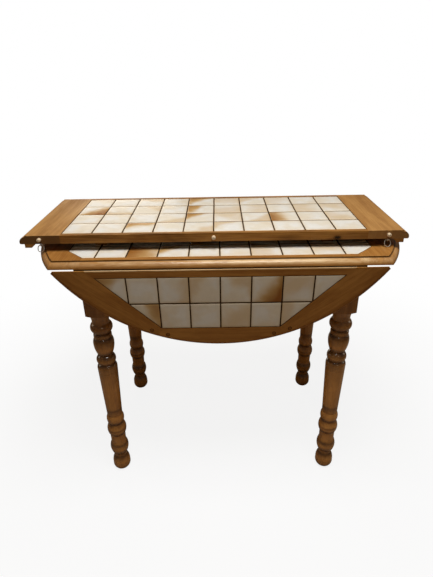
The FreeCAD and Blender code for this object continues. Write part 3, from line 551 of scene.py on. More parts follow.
def wood_material(name, direction, light, dark, coat=0.05, sheen=0.1, end_grain=(0.3, 0.3), worn=None,
                  wear_and_highlight=None, seam=None, step=None, knot=None):
    """A wood finish whose grain runs along a direction.

    End faces across the grain are darker, by one share on the left and by another on the right. The rubbed
    edge, real rubbing of the stain and a painted highlight together, is a height where it starts, one where it
    is strongest, and the least and the most of it. The seam is a height below which a painted shadow of the
    joint darkens all but the underside, and the step a band of heights where stain and painted shade have
    gathered. The flat face above the step gets no rubbed edge, and the moulding below it gets less towards
    the left and at both ends.
    """
    material, tree, shader, coordinates = new_material(name)
    place = coordinates.outputs["Object"]
    vector = grain_along(tree, coordinates, direction)
    grain = lay_grain(tree, vector, light, dark)
    colour = grain["Color"]
    x, _, height = split(tree, place)
    facing = split(tree, coordinates.outputs["Normal"])
    if direction in ("x", "y"):
        end_face = smooth(tree, calc(tree, "ABSOLUTE", facing[direction.upper()]), *END_FACE)
        darker = spread(tree, smooth(tree, x, *MIDDLE), *end_grain)
        colour = blend(tree, times(tree, end_face, darker), colour, rgba(dark, SHADES["end"]))
    if step:
        low, high = step
        below_face = rest(tree, smooth(tree, height, *FACE_EDGE, high))
    # Rubbed stain and a painted highlight on the edge, laid by the same mask
    if wear_and_highlight:
        start, full, least, most = wear_and_highlight
        level = smooth(tree, height, start, full)
        if step:
            from_left = spread(tree, smooth(tree, x, *WORN_AND_LIT_FROM_LEFT), LEAST_WORN_AND_LIT, 1.0)
            away = calc(tree, "ABSOLUTE", x)
            at_ends = spread(tree, smooth(tree, away, *WORN_AND_LIT_TO_ENDS), 1.0, LEAST_WORN_AND_LIT)
            level = times(tree, times(tree, level, below_face), times(tree, from_left, at_ends))
        inputs = {"Vector": vector, "Level": level, "Least": least, "Most": most}
        rubbed = add_node(tree, "ShaderNodeGroup", inputs, node_tree=edge_wear_and_highlight_group())
        colour = blend(tree, rubbed.outputs["Mask"], colour, rgba(worn))
    # Stain gathered in the moulding's step, together with painted shade in that recess
    if step:
        above = smooth(tree, height, *STEP_EDGE, low)
        step_stain_and_shade = times(tree, times(tree, above, below_face), STEP_STAIN_AND_SHADE)
        colour = blend(tree, step_stain_and_shade, colour, rgba(dark, SHADES["step"]))
    # Painted shadow of the rule joint: faces below the hinge line are darkened, all but the underside
    if seam:
        dirt = rest(tree, smooth(tree, height, *SEAM_EDGE, seam))
        dirt = times(tree, dirt, smooth(tree, facing["Z"], -0.9, -0.6))
        colour = blend(tree, times(tree, dirt, JOINT_SHADOW_SHARE), colour, rgba(dark, SHADES["dirt"]))
    if knot:
        apart = add_node(tree, "ShaderNodeVectorMath", {0: place, 1: knot}, operation="SUBTRACT").outputs[0]
        far = length_of(tree, stretched(tree, apart, KNOT_SQUEEZE))
        rough_edge = calc(tree, "MULTIPLY_ADD", noise(tree, place, 300.0), KNOT_ROUGH, far)
        inside = rest(tree, smooth(tree, rough_edge, *KNOT_RIM))
        colour = blend(tree, inside, colour, rgba(dark, SHADES["knot"]))
    set_inputs(tree, shader, {
        "Base Color": colour, "Roughness": grain["Roughness"], "Specular IOR Level": sheen,
        "Coat Weight": coat, "Coat Roughness": 0.2, "Normal": bump(tree, grain["Height"], 0.25, 0.0004),
    })
    return material


def leg_material(wood):
    """Lacquered wood of a turned leg: grain along Z, and stain that lies darker in the turned grooves.

    The dark share, real stain together with painted shade in the grooves and on the rings, follows the height
    above the floor, and is broken up by noise.
    """
    material, tree, shader, coordinates = new_material("stained turned wood")
    place = coordinates.outputs["Object"]
    colours = tinted((wood.stain_light, wood.stain_dark), "leg")
    grain = lay_grain(tree, grain_along(tree, coordinates, "z"), *colours)
    tallest = LEG_STAIN_AND_SHADE[-1][0]
    ramp = add_node(tree, "ShaderNodeValToRGB", {0: calc(tree, "DIVIDE", split(tree, place)["Z"], tallest)})
    stops = ramp.color_ramp.elements
    stops[0].position = 0.0
    stops[1].position = 1.0
    for height, _ in LEG_STAIN_AND_SHADE[1:-1]:
        stops.new(height / tallest)
    for stop, (_, share) in zip(stops, LEG_STAIN_AND_SHADE):
        stop.color = rgba(WHITE, share)
    uneven = spread(tree, noise(tree, place, 55.0, 3.0), 0.65, 1.15)
    # Share of the groove colour: stain and painted shade in the grooves
    dark = times(tree, ramp.outputs[0], uneven)
    set_inputs(tree, shader, {
        "Base Color": blend(tree, dark, grain["Color"], rgba(wood.groove)),
        "Roughness": grain["Roughness"], "Specular IOR Level": 0.1, "Coat Weight": 1.0,
        "Coat Roughness": 0.10, "Normal": bump(tree, grain["Height"], 0.2, 0.0003),
    })
    return material


def attribute(tree, name, output="Vector"):
    """What a piece's mesh carries under a name."""
    return add_node(tree, "ShaderNodeAttribute", attribute_name=name).outputs[output]


def glaze_material(tiles):
    """Glazed tile: an ivory ground with cool clouds, flames from one edge, a thin rim and fine speckle.

    A flame's share grows with the place across the tile along the flame's own direction, bent by noise.
    """
    material, tree, shader, coordinates = new_material("flamed glaze")
    place = coordinates.outputs["Object"]
    u, v, _ = split(tree, add_node(tree, "ShaderNodeUVMap", uv_map="tile").outputs[0])
    tan, brown, length = split(tree, attribute(tree, "tile_flame"))
    turn_u, turn_v, seed = split(tree, attribute(tree, "tile_drift"))
    across = calc(tree, "SUBTRACT", u, 0.5)
    up = calc(tree, "SUBTRACT", v, 0.5)
    along = calc(tree, "MULTIPLY_ADD", across, turn_u, times(tree, up, turn_v))
    seeded = joined(tree, u, v, seed)
    wisps = noise(tree, seeded, 1.7, 2.0, 0.45, 0.3)
    along = calc(tree, "MULTIPLY_ADD", calc(tree, "SUBTRACT", wisps, 0.5), FLAME_BEND, along)
    reached = calc(tree, "SUBTRACT", FLAME_FULL, length)
    share = calc(tree, "DIVIDE", calc(tree, "SUBTRACT", along, reached), length)
    share = smooth(tree, share, 0.0, 1.0)
    off_middle = calc(tree, "MAXIMUM", calc(tree, "ABSOLUTE", across), calc(tree, "ABSOLUTE", up))
    clouds = smooth(tree, noise(tree, seeded, 1.3), 0.38, 0.62)
    warm = calc(tree, "MAXIMUM", clouds, smooth(tree, off_middle, 0.28, 0.52))
    mottle = spread(tree, noise(tree, place, 60.0, 4.0, 0.6), 0.90, 1.06)
    colour = toned(tree, blend(tree, warm, rgba(tiles.pale), rgba(tiles.ivory)), mottle)
    tanned = times(tree, smooth(tree, share, 0.0, 0.75), tan)
    colour = blend(tree, tanned, colour, rgba(tiles.tan))
    depth = times(tree, times(tree, share, share), brown)
    colour = blend(tree, depth, colour, rgba(tiles.brown))
    rim = smooth(tree, calc(tree, "MULTIPLY_ADD", wisps, 0.012, off_middle), *TAN_RIM)
    colour = blend(tree, times(tree, rim, 0.5), colour, rgba(tiles.tan))
    specks = smooth(tree, noise(tree, place, 900.0, 1.0), 0.70, 0.76)
    colour = blend(tree, times(tree, specks, 0.25), colour, rgba(tiles.brown))
    wave = noise(tree, place, 95.0)
    set_inputs(tree, shader, {
        "Base Color": colour, "Roughness": spread(tree, wave, 0.16, 0.30), "Specular IOR Level": 0.35,
        "Normal": bump(tree, wave, 0.12, 0.0006),
    })
    return material


def grout_material(tiles):
    """Matte sanded grout: two browns mixed by noise, and a fine sandy bump."""
    material, tree, shader, coordinates = new_material("sanded grout")
    place = coordinates.outputs["Object"]
    share = noise(tree, place, 120.0, 4.0, 0.6)
    sand = noise(tree, place, 1800.0)
    set_inputs(tree, shader, {
        "Base Color": blend(tree, share, rgba(tiles.grout), rgba(tiles.grout, 1.7)),
        "Roughness": spread(tree, sand, 0.75, 0.95), "Specular IOR Level": 0.1,
        "Normal": bump(tree, sand, 0.4, 0.0003),
    })
    return material


def metal_material(name, colour, roughness, direction):
    """Drawn or rolled steel: fine lines along a direction, and dull spots."""
    material, tree, shader, coordinates = new_material(name)
    vector = grain_along(tree, coordinates, direction)
    lines = grain_noise(tree, vector, along=60.0, across=2400.0, detail=2.0)
    spots = noise(tree, coordinates.outputs["Object"], 160.0, 3.0)
    dull = times(tree, smooth(tree, spots, 0.45, 0.75), 0.55)
    rough = calc(tree, "MULTIPLY_ADD", dull, 0.3, roughness - 0.09)
    set_inputs(tree, shader, {
        "Base Color": blend(tree, dull, rgba(colour), rgba(colour, 0.55)),
        "Roughness": calc(tree, "MULTIPLY_ADD", lines, 0.18, rough), "Metallic": 1.0,
        "Normal": bump(tree, lines, 0.1, 0.0001),
    })
    return material


def finish_node(name, material):
    """Gives a node of the frame its finish."""
    node = frame["nodes"][name]
    node.data.materials.clear()
    node.data.materials.append(material)


def turned(points, joint, angle):
    """Points turned about a joint's axis by Rodrigues' formula, on whole arrays."""
    pivot = np.array(joint["pos_m"], float)
    axis = np.array(joint["axis"], float)
    apart = points - pivot
    turned_part = apart * math.cos(angle) + np.cross(axis, apart) * math.sin(angle)
    return pivot + turned_part + np.outer(apart @ axis, axis) * (1 - math.cos(angle))


def folded(points, group, way):
    """Points turned with a leaf, up to level for a way of 1 or back down for -1; a fixed group's stay."""
    joint = JOINTS.get(group + "_fold")
    return turned(points, joint, way * math.radians(joint["range_deg"][1])) if joint else points


def level_points(group, part):
    """All corners of a part's mesh as one array, with a leaf turned up to level."""
    mesh = frame["nodes"][group + part].data
    points = np.empty(3 * len(mesh.vertices))
    mesh.vertices.foreach_get("co", points)
    return folded(points.reshape(-1, 3), group, 1)


def link_mesh(name, points, faces, material):
    """An object at the origin from an array of points and a list of faces."""
    mesh = bpy.data.meshes.new(name)
    mesh.from_pydata(points.tolist(), [], faces)
    mesh.materials.append(material)
    made = bpy.data.objects.new(name, mesh)
    bpy.context.scene.collection.objects.link(made)
    return made


def new_piece(name, points, faces, material, body):
    """A smooth-shaded piece, which rides on a body."""
    piece = link_mesh(name, points, faces, material)
    piece.data.polygons.foreach_set("use_smooth", np.ones(len(piece.data.polygons), bool))
    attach(piece, body)
    return piece


def circle(count):
    """Points of a unit circle, a step of the full turn apart."""
    angles = np.arange(count) * math.tau / count
    return np.stack([np.cos(angles), np.sin(angles)], -1)


def grid_faces(rings, count):
    """Faces of rings of points: quads between neighbouring rings, and fans to two poles after them."""
    ring, spot = np.meshgrid(np.arange(rings - 1), np.arange(count), indexing="ij")
    after = (spot + 1) % count
    quads = np.stack([ring * count + spot, ring * count + after,
                      (ring + 1) * count + after, (ring + 1) * count + spot], -1).reshape(-1, 4)
    spot = np.arange(count)
    after = (spot + 1) % count
    first = np.stack([after, spot, np.full(count, rings * count)], -1)
    last = (rings - 1) * count
    second = np.stack([last + spot, last + after, np.full(count, rings * count + 1)], -1)
    return quads, np.concatenate([first, second])


def repeated(faces, copies, size):
    """A list of the faces of some copies of a shape, each of them a number of points after the last."""
    starts = np.arange(copies) * size
    return (faces + starts[:, None, None]).reshape(-1, faces.shape[1]).tolist()


def tile_planes(group, tiles):
    """The straight sides of a tiled field, read from its grout as the farthest reach in eight directions.

    Gives their outward directions, reaches, the middle of the field and its counts of columns and rows.
    """
    points = level_points(group, "_grout")
    outward = circle(8)
    reach = (outward @ points[:, :2].T).max(1) - tiles.joint / 2
    low = points.min(0)
    high = points.max(0)
    counts = np.rint((high - low)[:2] / (tiles.size + tiles.joint)).astype(int)
    return outward, reach, (low + high)[:2] / 2, counts


def inner_spot(spot, outward, reach, margin):
    """A place well inside a cut tile: the middle, pushed back from each side nearer than a margin."""
    for _ in range(PUSHES):
        lack = np.maximum(0.0, margin - (reach - outward @ spot))
        spot = spot - (outward * lack[:, None]).sum(0) / 2
    return spot


def tile_corners(outward, reach):
    """Corners of a tile's outline: the crossings of its sides' lines that lie within all of its sides."""
    first, second = np.triu_indices(len(reach), 1)
    cross = outward[first, 0] * outward[second, 1] - outward[first, 1] * outward[second, 0]
    real = np.abs(cross) > PARALLEL
    first, second, cross = first[real], second[real], cross[real]
    x = reach[first] * outward[second, 1] - reach[second] * outward[first, 1]
    y = reach[second] * outward[first, 0] - reach[first] * outward[second, 0]
    corners = np.stack([x, y], -1) / cross[:, None]
    return corners[(outward @ corners.T <= reach[:, None] + SLACK).all(0)]


def tile_shell(spot, outward, reach, face_top, tiles, thickness):
    """One tile: its outline as a distance from an inner spot, the least over its sides, for each direction.

    Every ring moves the sides inwards: up the wall, over a quarter-round arris, then over a flat crown. The
    directions are evenly spread, and the nearest one to each corner of the outline is moved to it.
    """
    step = math.tau / TILE_CORNERS
    angles = np.arange(TILE_CORNERS) * step
    corners = tile_corners(outward, reach) - spot
    exact = np.arctan2(corners[:, 1], corners[:, 0]) % math.tau
    angles[np.rint(exact / step).astype(int) % TILE_CORNERS] = exact
    rays = np.stack([np.cos(angles), np.sin(angles)], -1)
    facing = outward @ rays.T
    quarter = np.linspace(0, math.pi / 2, RIM_POINTS)
    insets = np.concatenate([[0.0], tiles.arris * (1 - np.cos(quarter))])
    drops = np.concatenate([[thickness], tiles.crown + tiles.arris * (1 - np.sin(quarter))])
    room = (reach - outward @ spot)[None, :, None] - insets[:, None, None]
    lengths = np.where(facing > PARALLEL, room / np.maximum(facing, PARALLEL), np.inf).min(1)
    lengths = np.concatenate([lengths, lengths[-1] * CROWN_RINGS[:, None]])
    drops = np.concatenate([drops, tiles.crown * CROWN_RINGS ** 2])
    ring = np.empty((len(drops), TILE_CORNERS, 3))
    ring[:, :, :2] = spot + lengths[:, :, None] * rays
    ring[:, :, 2] = face_top - drops[:, None]
    poles = np.array([[*spot, face_top - thickness], [*spot, face_top]])
    return np.concatenate([ring.reshape(-1, 3), poles]), grid_faces(len(drops), TILE_CORNERS)


class TABLE_OT_finish_wood(bpy.types.Operator):
    """Gives the boards, rails, legs, slides and dowels their wood."""
    bl_idname = "table.finish_wood"
    bl_label = "Finish Wood"

    def execute(self, context):
        wood = context.scene.table_wood
        stain = (wood.stain_light, wood.stain_dark)
        plain = (wood.plain_light, wood.plain_dark)
        stained = {d: wood_material("stained wood along " + d, d, *stain) for d in ("x", "y", "mitre")}
        bare = {d: wood_material("plain wood along " + d, d, *plain, coat=0.0) for d in ("x", "y")}
        pale = wood_material("pale dowel wood", "y", wood.pale_light, wood.pale_dark, coat=0.1)
        # The rail's, the round's and the lip's pale edges are rubbed stain and a painted highlight together
        low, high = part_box("front_half_rule_rail")
        rubbed = (low.z + WEAR_AND_HIGHLIGHT_STARTS, high.z - WEAR_AND_HIGHLIGHT_FULL)
        edge = {"coat": 0.4, "end_grain": (0.0, 0.0), "worn": wood.worn,
                "seam": JOINTS["front_leaf_fold"]["pos_m"][2], "step": (high.z - wood.edge_step, high.z)}
        rail = wood_material("stained wood of the rule rail", "x", *stain, **edge, wear_and_highlight=(*rubbed, 0.1, 1.0))
        rounded = wood_material("stained wood of the round", "y", *tinted(stain, "round"), **edge,
                                wear_and_highlight=(*rubbed, 0.1, 0.8))
        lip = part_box("front_leaf_hinge_rail")[1].z
        lipped = wood_material("stained wood of the hinge rail", "x", *stain, worn=wood.worn,
                               wear_and_highlight=(lip - LIP_STARTS, lip - LIP_FULL, 0.5, 1.0))
        knotted = wood_material("stained wood with a knot", "x", *tinted(stain, "strips"), knot=wood.knot)
        # Paler colour of these end boards is a painted sheen
        sawn = wood_material("stained wood with sawn ends", "y", *tinted(stain, "loose ends"), sheen=0.4,
                             end_grain=(0.95, 0.5))
        # Nearly black backing deepens the shadow under the loose leaf: painted shadow
        backing = wood_material("dark backing board", "x", *tinted(plain, "backing"), coat=0.0)
        own = {"extension_panel": backing, "extension_strips": knotted, "extension_end_boards": sawn,
               "half_end_boards": rounded, "rule_rail": rail, "hinge_rail": lipped,
               "side_boards": stained["mitre"], "_leg": leg_material(wood)}
        along_y = ("left_apron", "right_apron", "cleats")
        lengthwise = ("loper", "runners", "beams")
        slots = {part["node"]: part["material_slot"] for part in frame["record"]["subparts"]}
        for name in frame["nodes"]:
            special = next((own[end] for end in own if name.endswith(end)), None)
            if special:
                finish_node(name, special)
            elif slots[name] == "stained_wood":
                finish_node(name, stained["y" if name.endswith(along_y) else "x"])
            elif slots[name] == "plain_wood":
                finish_node(name, bare["y" if name.endswith(lengthwise) else "x"])
            elif slots[name] == "pale_wood":
                finish_node(name, pale)
        return {"FINISHED"}


class TABLE_OT_finish_metal(bpy.types.Operator):
    """Gives the hinges and the wire catches their steel."""
    bl_idname = "table.finish_metal"
    bl_label = "Finish Metal"

    def execute(self, context):
        metal = context.scene.table_metal
        wire = metal_material("drawn wire", metal.wire, ROUGHNESS["wire"], "z")
        hinge = metal_material("rolled hinge steel", metal.hinge, ROUGHNESS["hinge"], "x")
        for name in ("left_catch", "right_catch", "extension_catch_eyes"):
            finish_node(name, wire)
        for side in SIDES:
            finish_node(side + "_half_hinge_plates", hinge)
            finish_node(side + "_leaf_hinge_flaps", hinge)
        return {"FINISHED"}


class TABLE_OT_lay_tiles(bpy.types.Operator):
    """Lays the glazed tiles in their grout, whole ones and cut ones."""
    bl_idname = "table.lay_tiles"
    bl_label = "Lay Tiles"

    def execute(self, context):
        tiles = context.scene.table_tiles
        glaze = glaze_material(tiles)
        grout = grout_material(tiles)
        chance = np.random.default_rng(SEED)
        for group in TILED:
            finish_node(group + "_grout", grout)
            self.lay_field(group, tiles, glaze, chance)
        return {"FINISHED"}

    def lay_field(self, group, tiles, glaze, chance):
        """Tiles on a square grid, cut by the sides of their field; a place without room stays bare."""
        outward, reach, middle, (columns, rows) = tile_planes(group, tiles)
        heights = level_points(group, "_tiles")[:, 2]
        face_top = heights.max()
        thickness = face_top - heights.min()
        pitch = tiles.size + tiles.joint
        square = np.array([[1, 0], [-1, 0], [0, 1], [0, -1]], float)
        sides = np.concatenate([outward, square])
        way = -1 if group == "front_leaf" else 1
        points, faces, places, flames, drifts = [], [], [], [], []
        total = 0
        for row in range(rows):
            words = FLAMES[group][row].split()
            for column in range(columns):
                steps = np.array([column - (columns - 1) / 2, way * (row - (rows - 1) / 2)])
                spot = middle + pitch * steps
                limits = np.concatenate([reach, square @ spot + tiles.size / 2])
                inner = inner_spot(spot, sides, limits, CUT_ROOM * tiles.size)
                if (limits - sides @ inner).min() < LEAST_ROOM * tiles.size:
                    continue
                shell, (quads, fans) = tile_shell(inner, sides, limits, face_top, tiles, thickness)
                tan, brown, length = DEPTHS[words[column][0]]
                edge = int(words[column][1]) * math.pi / 4 + chance.uniform(*FLAME_TURN)
                vary = chance.uniform(*FLAME_VARIES)
                flame = [min(1.0, tan * vary), min(1.0, brown * vary), length]
                drift = [math.cos(edge), math.sin(edge), chance.uniform(*FLAME_SEEDS)]
                places.append((shell[:, :2] - spot) / tiles.size + 0.5)
                flames.append(np.tile(flame, (len(shell), 1)))
                drifts.append(np.tile(drift, (len(shell), 1)))
                faces += (quads + total).tolist() + (fans + total).tolist()
                points.append(shell)
                total += len(shell)
        points = folded(np.concatenate(points), group, -1)
        piece = new_piece(group + "_glazed_tiles", points, faces, glaze, group)
        mesh = piece.data
        for name, values in (("tile_flame", flames), ("tile_drift", drifts)):
            layer = mesh.attributes.new(name, "FLOAT_VECTOR", "POINT")
            layer.data.foreach_set("vector", np.concatenate(values).ravel())
        corner = np.empty(len(mesh.loops), int)
        mesh.loops.foreach_get("vertex_index", corner)
        layer = mesh.uv_layers.new(name="tile")
        layer.data.foreach_set("uv", np.concatenate(places)[corner].ravel())
        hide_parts(group + "_tiles")


class TABLE_OT_drive_pegs(bpy.types.Operator):
    """Drives the dark pegs that lock the mitres of the leaves."""
    bl_idname = "table.drive_pegs"
    bl_label = "Drive Pegs"

    def execute(self, context):
        wood = context.scene.table_wood
        dark = self.peg_material(wood)
        for side in SIDES:
            self.peg_leaf(side + "_leaf", wood.peg_radius, dark)
        return {"FINISHED"}

    def peg_material(self, wood):
        """Peg wood with its end grain up, and a dark glue line round the rim."""
        material, tree, shader, coordinates = new_material("peg wood")
        rings = noise(tree, coordinates.outputs["Object"], 380.0, 3.0, 0.6)
        ground = blend(tree, rings, rgba(wood.stain_dark, 0.55), rgba(wood.stain_dark))
        rim = calc(tree, "MULTIPLY_ADD", rings, 0.12, attribute(tree, "peg_rim", "Fac"))
        set_inputs(tree, shader, {
            "Base Color": blend(tree, smooth(tree, rim, 0.74, 0.98), ground, rgba(wood.groove, 0.6)),
            "Roughness": spread(tree, rings, 0.4, 0.6), "Specular IOR Level": 0.1,
            "Normal": bump(tree, rings, 0.2, 0.0003),
        })
        return material

    def peg_leaf(self, group, radius, material):
        """Each peg is a low dome of rings: they shrink as they rise over a short wall, up to the crown."""
        solids = level_points(group, "_tiles")
        face_top = solids[:, 2].max()
        sign = math.copysign(1.0, solids[0, 1])
        edge = np.abs(solids[:, 1]).min() - PEG_EDGE
        shares, lifts = PEG_RINGS.T
        disc = np.empty((len(shares), PEG_CORNERS, 3))
        disc[:, :, :2] = radius * shares[:, None, None] * circle(PEG_CORNERS)
        disc[:, :, 2] = lifts[:, None]
        peg = np.concatenate([disc.reshape(-1, 3), [[0, 0, lifts[0]], [0, 0, PEG_CROWN]]])
        rims = np.concatenate([np.repeat(shares, PEG_CORNERS), [0.0, 0.0]])
        quads, fans = grid_faces(len(shares), PEG_CORNERS)
        spots = np.array([[x, sign * (edge + y), face_top] for x, y in PEG_SPOTS])
        points = folded((spots[:, None] + peg).reshape(-1, 3), group, -1)
        faces = repeated(quads, len(spots), len(peg)) + repeated(fans, len(spots), len(peg))
        piece = new_piece(group + "_pegs", points, faces, material, group)
        layer = piece.data.attributes.new("peg_rim", "FLOAT", "POINT")
        layer.data.foreach_set("value", np.tile(rims, len(spots)))


class TABLE_OT_drive_screws(bpy.types.Operator):
    """Drives the slotted screws of the hinges."""
    bl_idname = "table.drive_screws"
    bl_label = "Drive Screws"

    def execute(self, context):
        metal = context.scene.table_metal
        steel = metal_material("screw steel", metal.hinge, ROUGHNESS["screw"], "x")
        for side in SIDES:
            line = JOINTS[side + "_leaf_fold"]["pos_m"][1]
            outwards = math.copysign(1.0, line)
            for part, plates, way in (("_half", "_hinge_plates", -1), ("_leaf", "_hinge_flaps", 1)):
                group = side + part
                spots = self.screw_spots(level_points(group, plates), line, way * outwards)
                points, faces = self.screw_heads(spots, metal)
                points = folded(points, group, -1)
                new_piece(group + "_hinge_screws", points, faces, steel, group)
        return {"FINISHED"}

    def screw_spots(self, solids, line, way):
        """Three spots on each plate, in a zigzag between the plate's ends and off the hinge line."""
        low = solids[:, 2].min()
        flat = solids[solids[:, 2] < low + FLAT]
        middles = np.array([flat[:, 0].min() + PLATE_HALF, 0.0, flat[:, 0].max() - PLATE_HALF])
        spots = np.empty((len(middles), len(SCREW_ALONG), 3))
        spots[:, :, 0] = middles[:, None] + SCREW_ALONG
        spots[:, :, 1] = line + way * SCREW_OUT
        spots[:, :, 2] = low
        return spots.reshape(-1, 3)

    def screw_heads(self, spots, metal):
        """Heads hanging from a plate: a square grid bent into a disc and domed, with a straight slot.

        The dome falls with the sixth power of the radius. A flat copy of the grid, just inside the plate,
        closes each head from behind.
        """
        radius = metal.screw_radius
        rise = metal.screw_rise
        u, v = np.meshgrid(SLOT_LINES, CROSS_LINES, indexing="ij")
        x = radius * u * np.sqrt(1 - v * v / 2)
        y = radius * v * np.sqrt(1 - u * u / 2)
        share = (x * x + y * y) / radius ** 2
        height = rise * (1 - share ** 3)
        height = np.where(np.abs(v) < SLOT_HALF, np.minimum(height, SLOT_FLOOR * rise), height)
        dome = np.stack([x, y, -height], -1).reshape(-1, 3)
        back = np.stack([x, y, np.full_like(x, SUNK * rise)], -1).reshape(-1, 3)
        head = np.concatenate([dome, back])
        angles = np.arange(len(spots)) * SCREW_TURN
        cos = np.cos(angles)[:, None]
        sin = np.sin(angles)[:, None]
        points = np.stack([head[:, 0] * cos - head[:, 1] * sin, head[:, 0] * sin + head[:, 1] * cos,
                           np.broadcast_to(head[:, 2], (len(spots), len(head)))], -1) + spots[:, None]
        spot = np.arange(len(dome)).reshape(u.shape)
        quads = np.stack([spot[:-1, :-1], spot[:-1, 1:], spot[1:, 1:], spot[1:, :-1]], -1).reshape(-1, 4)
        rim = np.concatenate([spot[0, :-1], spot[:-1, -1], spot[-1, :0:-1], spot[:0:-1, 0]])
        after = np.roll(rim, -1)
        wall = np.stack([after, rim, rim + len(dome), after + len(dome)], -1)
        quads = np.concatenate([quads, quads[:, ::-1] + len(dome), wall])
        return points.reshape(-1, 3), repeated(quads, len(spots), len(head))


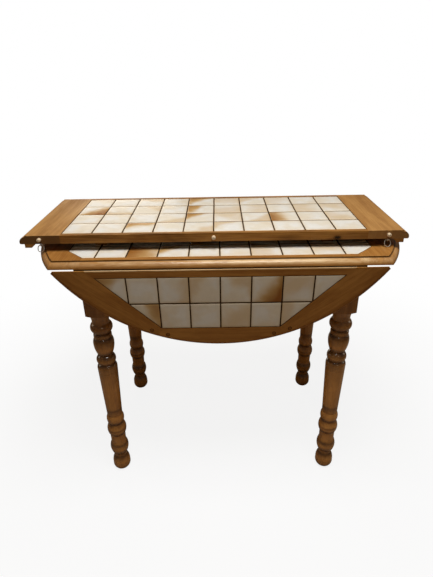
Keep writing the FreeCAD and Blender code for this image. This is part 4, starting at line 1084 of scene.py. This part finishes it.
class TABLE_OT_set_stage(bpy.types.Operator):
    """Sets the floor, the soft light and the camera."""
    bl_idname = "table.set_stage"
    bl_label = "Set Stage"

    def execute(self, context):
        stage = context.scene.table_stage
        self.lay_floor(stage)
        self.light_room(context.scene, stage)
        self.set_camera(context.scene, stage)
        context.scene.view_settings.view_transform = "Standard"
        return {"FINISHED"}

    def lay_floor(self, stage):
        """A flat disc: rings of shrinking radius about the object, and a fan to the pole in the middle."""
        radii = stage.floor_radius * FLOOR_RINGS
        disc = np.zeros((len(radii), FLOOR_CORNERS, 3))
        disc[:, :, :2] = radii[:, None, None] * circle(FLOOR_CORNERS)
        points = np.concatenate([disc.reshape(-1, 3), [[0, 0, 0]]])
        quads, fans = grid_faces(len(radii), FLOOR_CORNERS)
        # The outer rim has no pole, so the middle comes one place sooner
        inner_fan = fans[FLOOR_CORNERS:] - np.array([0, 0, 1])
        faces = quads.tolist() + inner_fan.tolist()
        link_mesh("floor", points, faces, self.floor_material(stage))

    def floor_material(self, stage):
        """Pale matte floor that fades, away from the object, into the white of the background."""
        material, tree, shader, coordinates = new_material("pale floor")
        place = coordinates.outputs["Object"]
        seen = add_node(tree, "ShaderNodeLightPath").outputs["Is Camera Ray"]
        tone = spread(tree, noise(tree, place, 3.0, 3.0), 0.97, 1.0)
        colour = blend(tree, seen, rgba(stage.bounce), rgba(stage.floor))
        set_inputs(tree, shader, {"Base Color": toned(tree, colour, tone), "Roughness": 0.9,
                                  "Specular IOR Level": 0.1})
        paler = spread(tree, smooth(tree, length_of(tree, place), *FADE), stage.paleness, 1.0)
        white = add_node(tree, "ShaderNodeEmission", {"Color": rgba(WHITE), "Strength": 1.0})
        mixed = add_node(tree, "ShaderNodeMixShader", {0: times(tree, paler, seen), 1: shader.outputs[0],
                                                       2: white.outputs[0]})
        output = next(n for n in tree.nodes if n.type == "OUTPUT_MATERIAL")
        set_inputs(tree, output, {"Surface": mixed.outputs[0]})
        return material

    def light_room(self, scene, stage):
        """A white background for what is seen, a dim even light, a soft box above and weak fills around."""
        world = bpy.data.worlds.new("studio")
        scene.world = world
        world.use_nodes = True
        tree = world.node_tree
        tree.nodes.clear()
        path = add_node(tree, "ShaderNodeLightPath").outputs
        mirrored = times(tree, path["Is Glossy Ray"], stage.mirrored)
        seen = calc(tree, "MAXIMUM", path["Is Camera Ray"], mirrored)
        seen = calc(tree, "MAXIMUM", seen, path["Is Transmission Ray"])
        strength = calc(tree, "MULTIPLY_ADD", seen, 1.0 - stage.ambient, stage.ambient)
        colour = blend(tree, path["Is Camera Ray"], rgba(stage.warmth), rgba(WHITE))
        background = add_node(tree, "ShaderNodeBackground", {"Color": colour, "Strength": strength})
        add_node(tree, "ShaderNodeOutputWorld", {"Surface": background.outputs[0]})
        self.soft_box(scene, "overhead", stage.overhead, WHITE, stage.overhead_size, OVERHEAD_PLACE,
                      OVERHEAD_AIM)
        for name, (power, size, place) in FILLS.items():
            self.soft_box(scene, name, getattr(stage, power), stage.warmth, size, place, FILL_AIM)

    def soft_box(self, scene, name, power, colour, size, place, aim):
        """A square lamp that looks from its place to its aim."""
        lamp = bpy.data.lights.new(name, "AREA")
        lamp.energy = power
        lamp.color = colour
        lamp.shape = "SQUARE"
        lamp.size = size
        holder = bpy.data.objects.new(name, lamp)
        holder.location = place
        holder.rotation_euler = (Vector(aim) - Vector(place)).to_track_quat("-Z", "Y").to_euler()
        scene.collection.objects.link(holder)

    def set_camera(self, scene, stage):
        """The camera looks along its yaw and pitch, then rolls about that line."""
        lens = bpy.data.cameras.new("camera")
        lens.lens = stage.lens
        lens.sensor_width = SENSOR_WIDTH
        lens.sensor_fit = "AUTO"
        camera = bpy.data.objects.new("camera", lens)
        forward = Vector((math.sin(stage.yaw) * math.cos(stage.pitch),
                          math.cos(stage.yaw) * math.cos(stage.pitch), -math.sin(stage.pitch)))
        level = Vector((math.cos(stage.yaw), -math.sin(stage.yaw), 0.0))
        upright = level.cross(forward)
        right = math.cos(stage.roll) * level + math.sin(stage.roll) * upright
        up = math.cos(stage.roll) * upright - math.sin(stage.roll) * level
        axes = Matrix((right, up, -forward)).transposed()
        camera.matrix_world = Matrix.Translation(Vector(stage.eye)) @ axes.to_4x4()
        scene.collection.objects.link(camera)
        scene.camera = camera


GROUPS = {"table_tiles": TableTiles, "table_wood": TableWood, "table_metal": TableMetal,
          "table_stage": TableStage}
OPERATORS = (TABLE_OT_finish_wood, TABLE_OT_finish_metal, TABLE_OT_lay_tiles, TABLE_OT_drive_pegs,
             TABLE_OT_drive_screws, TABLE_OT_set_stage)


class TABLE_PT_sidebar(bpy.types.Panel):
    """Lists the table's settings and steps."""
    bl_idname = "TABLE_PT_sidebar"
    bl_label = "Folding Table"
    bl_space_type = "VIEW_3D"
    bl_region_type = "UI"
    bl_category = "Table"

    def draw(self, context):
        for group in GROUPS:
            settings = getattr(context.scene, group)
            for name in settings.bl_rna.properties.keys():
                if name not in ("rna_type", "name"):
                    self.layout.prop(settings, name)
        for operator in OPERATORS:
            self.layout.operator(operator.bl_idname)


def register():
    for made in (*GROUPS.values(), *OPERATORS, TABLE_PT_sidebar):
        bpy.utils.register_class(made)
    for name, group in GROUPS.items():
        setattr(bpy.types.Scene, name, bpy.props.PointerProperty(type=group))


def unregister():
    for name in GROUPS:
        delattr(bpy.types.Scene, name)
    for made in (TABLE_PT_sidebar, *reversed(OPERATORS), *reversed(list(GROUPS.values()))):
        bpy.utils.unregister_class(made)


def main():
    register()
    bpy.ops.table.finish_wood()
    bpy.ops.table.finish_metal()
    bpy.ops.table.lay_tiles()
    bpy.ops.table.drive_pegs()
    bpy.ops.table.drive_screws()
    bpy.ops.table.set_stage()


if __name__ == "__main__":
    main()
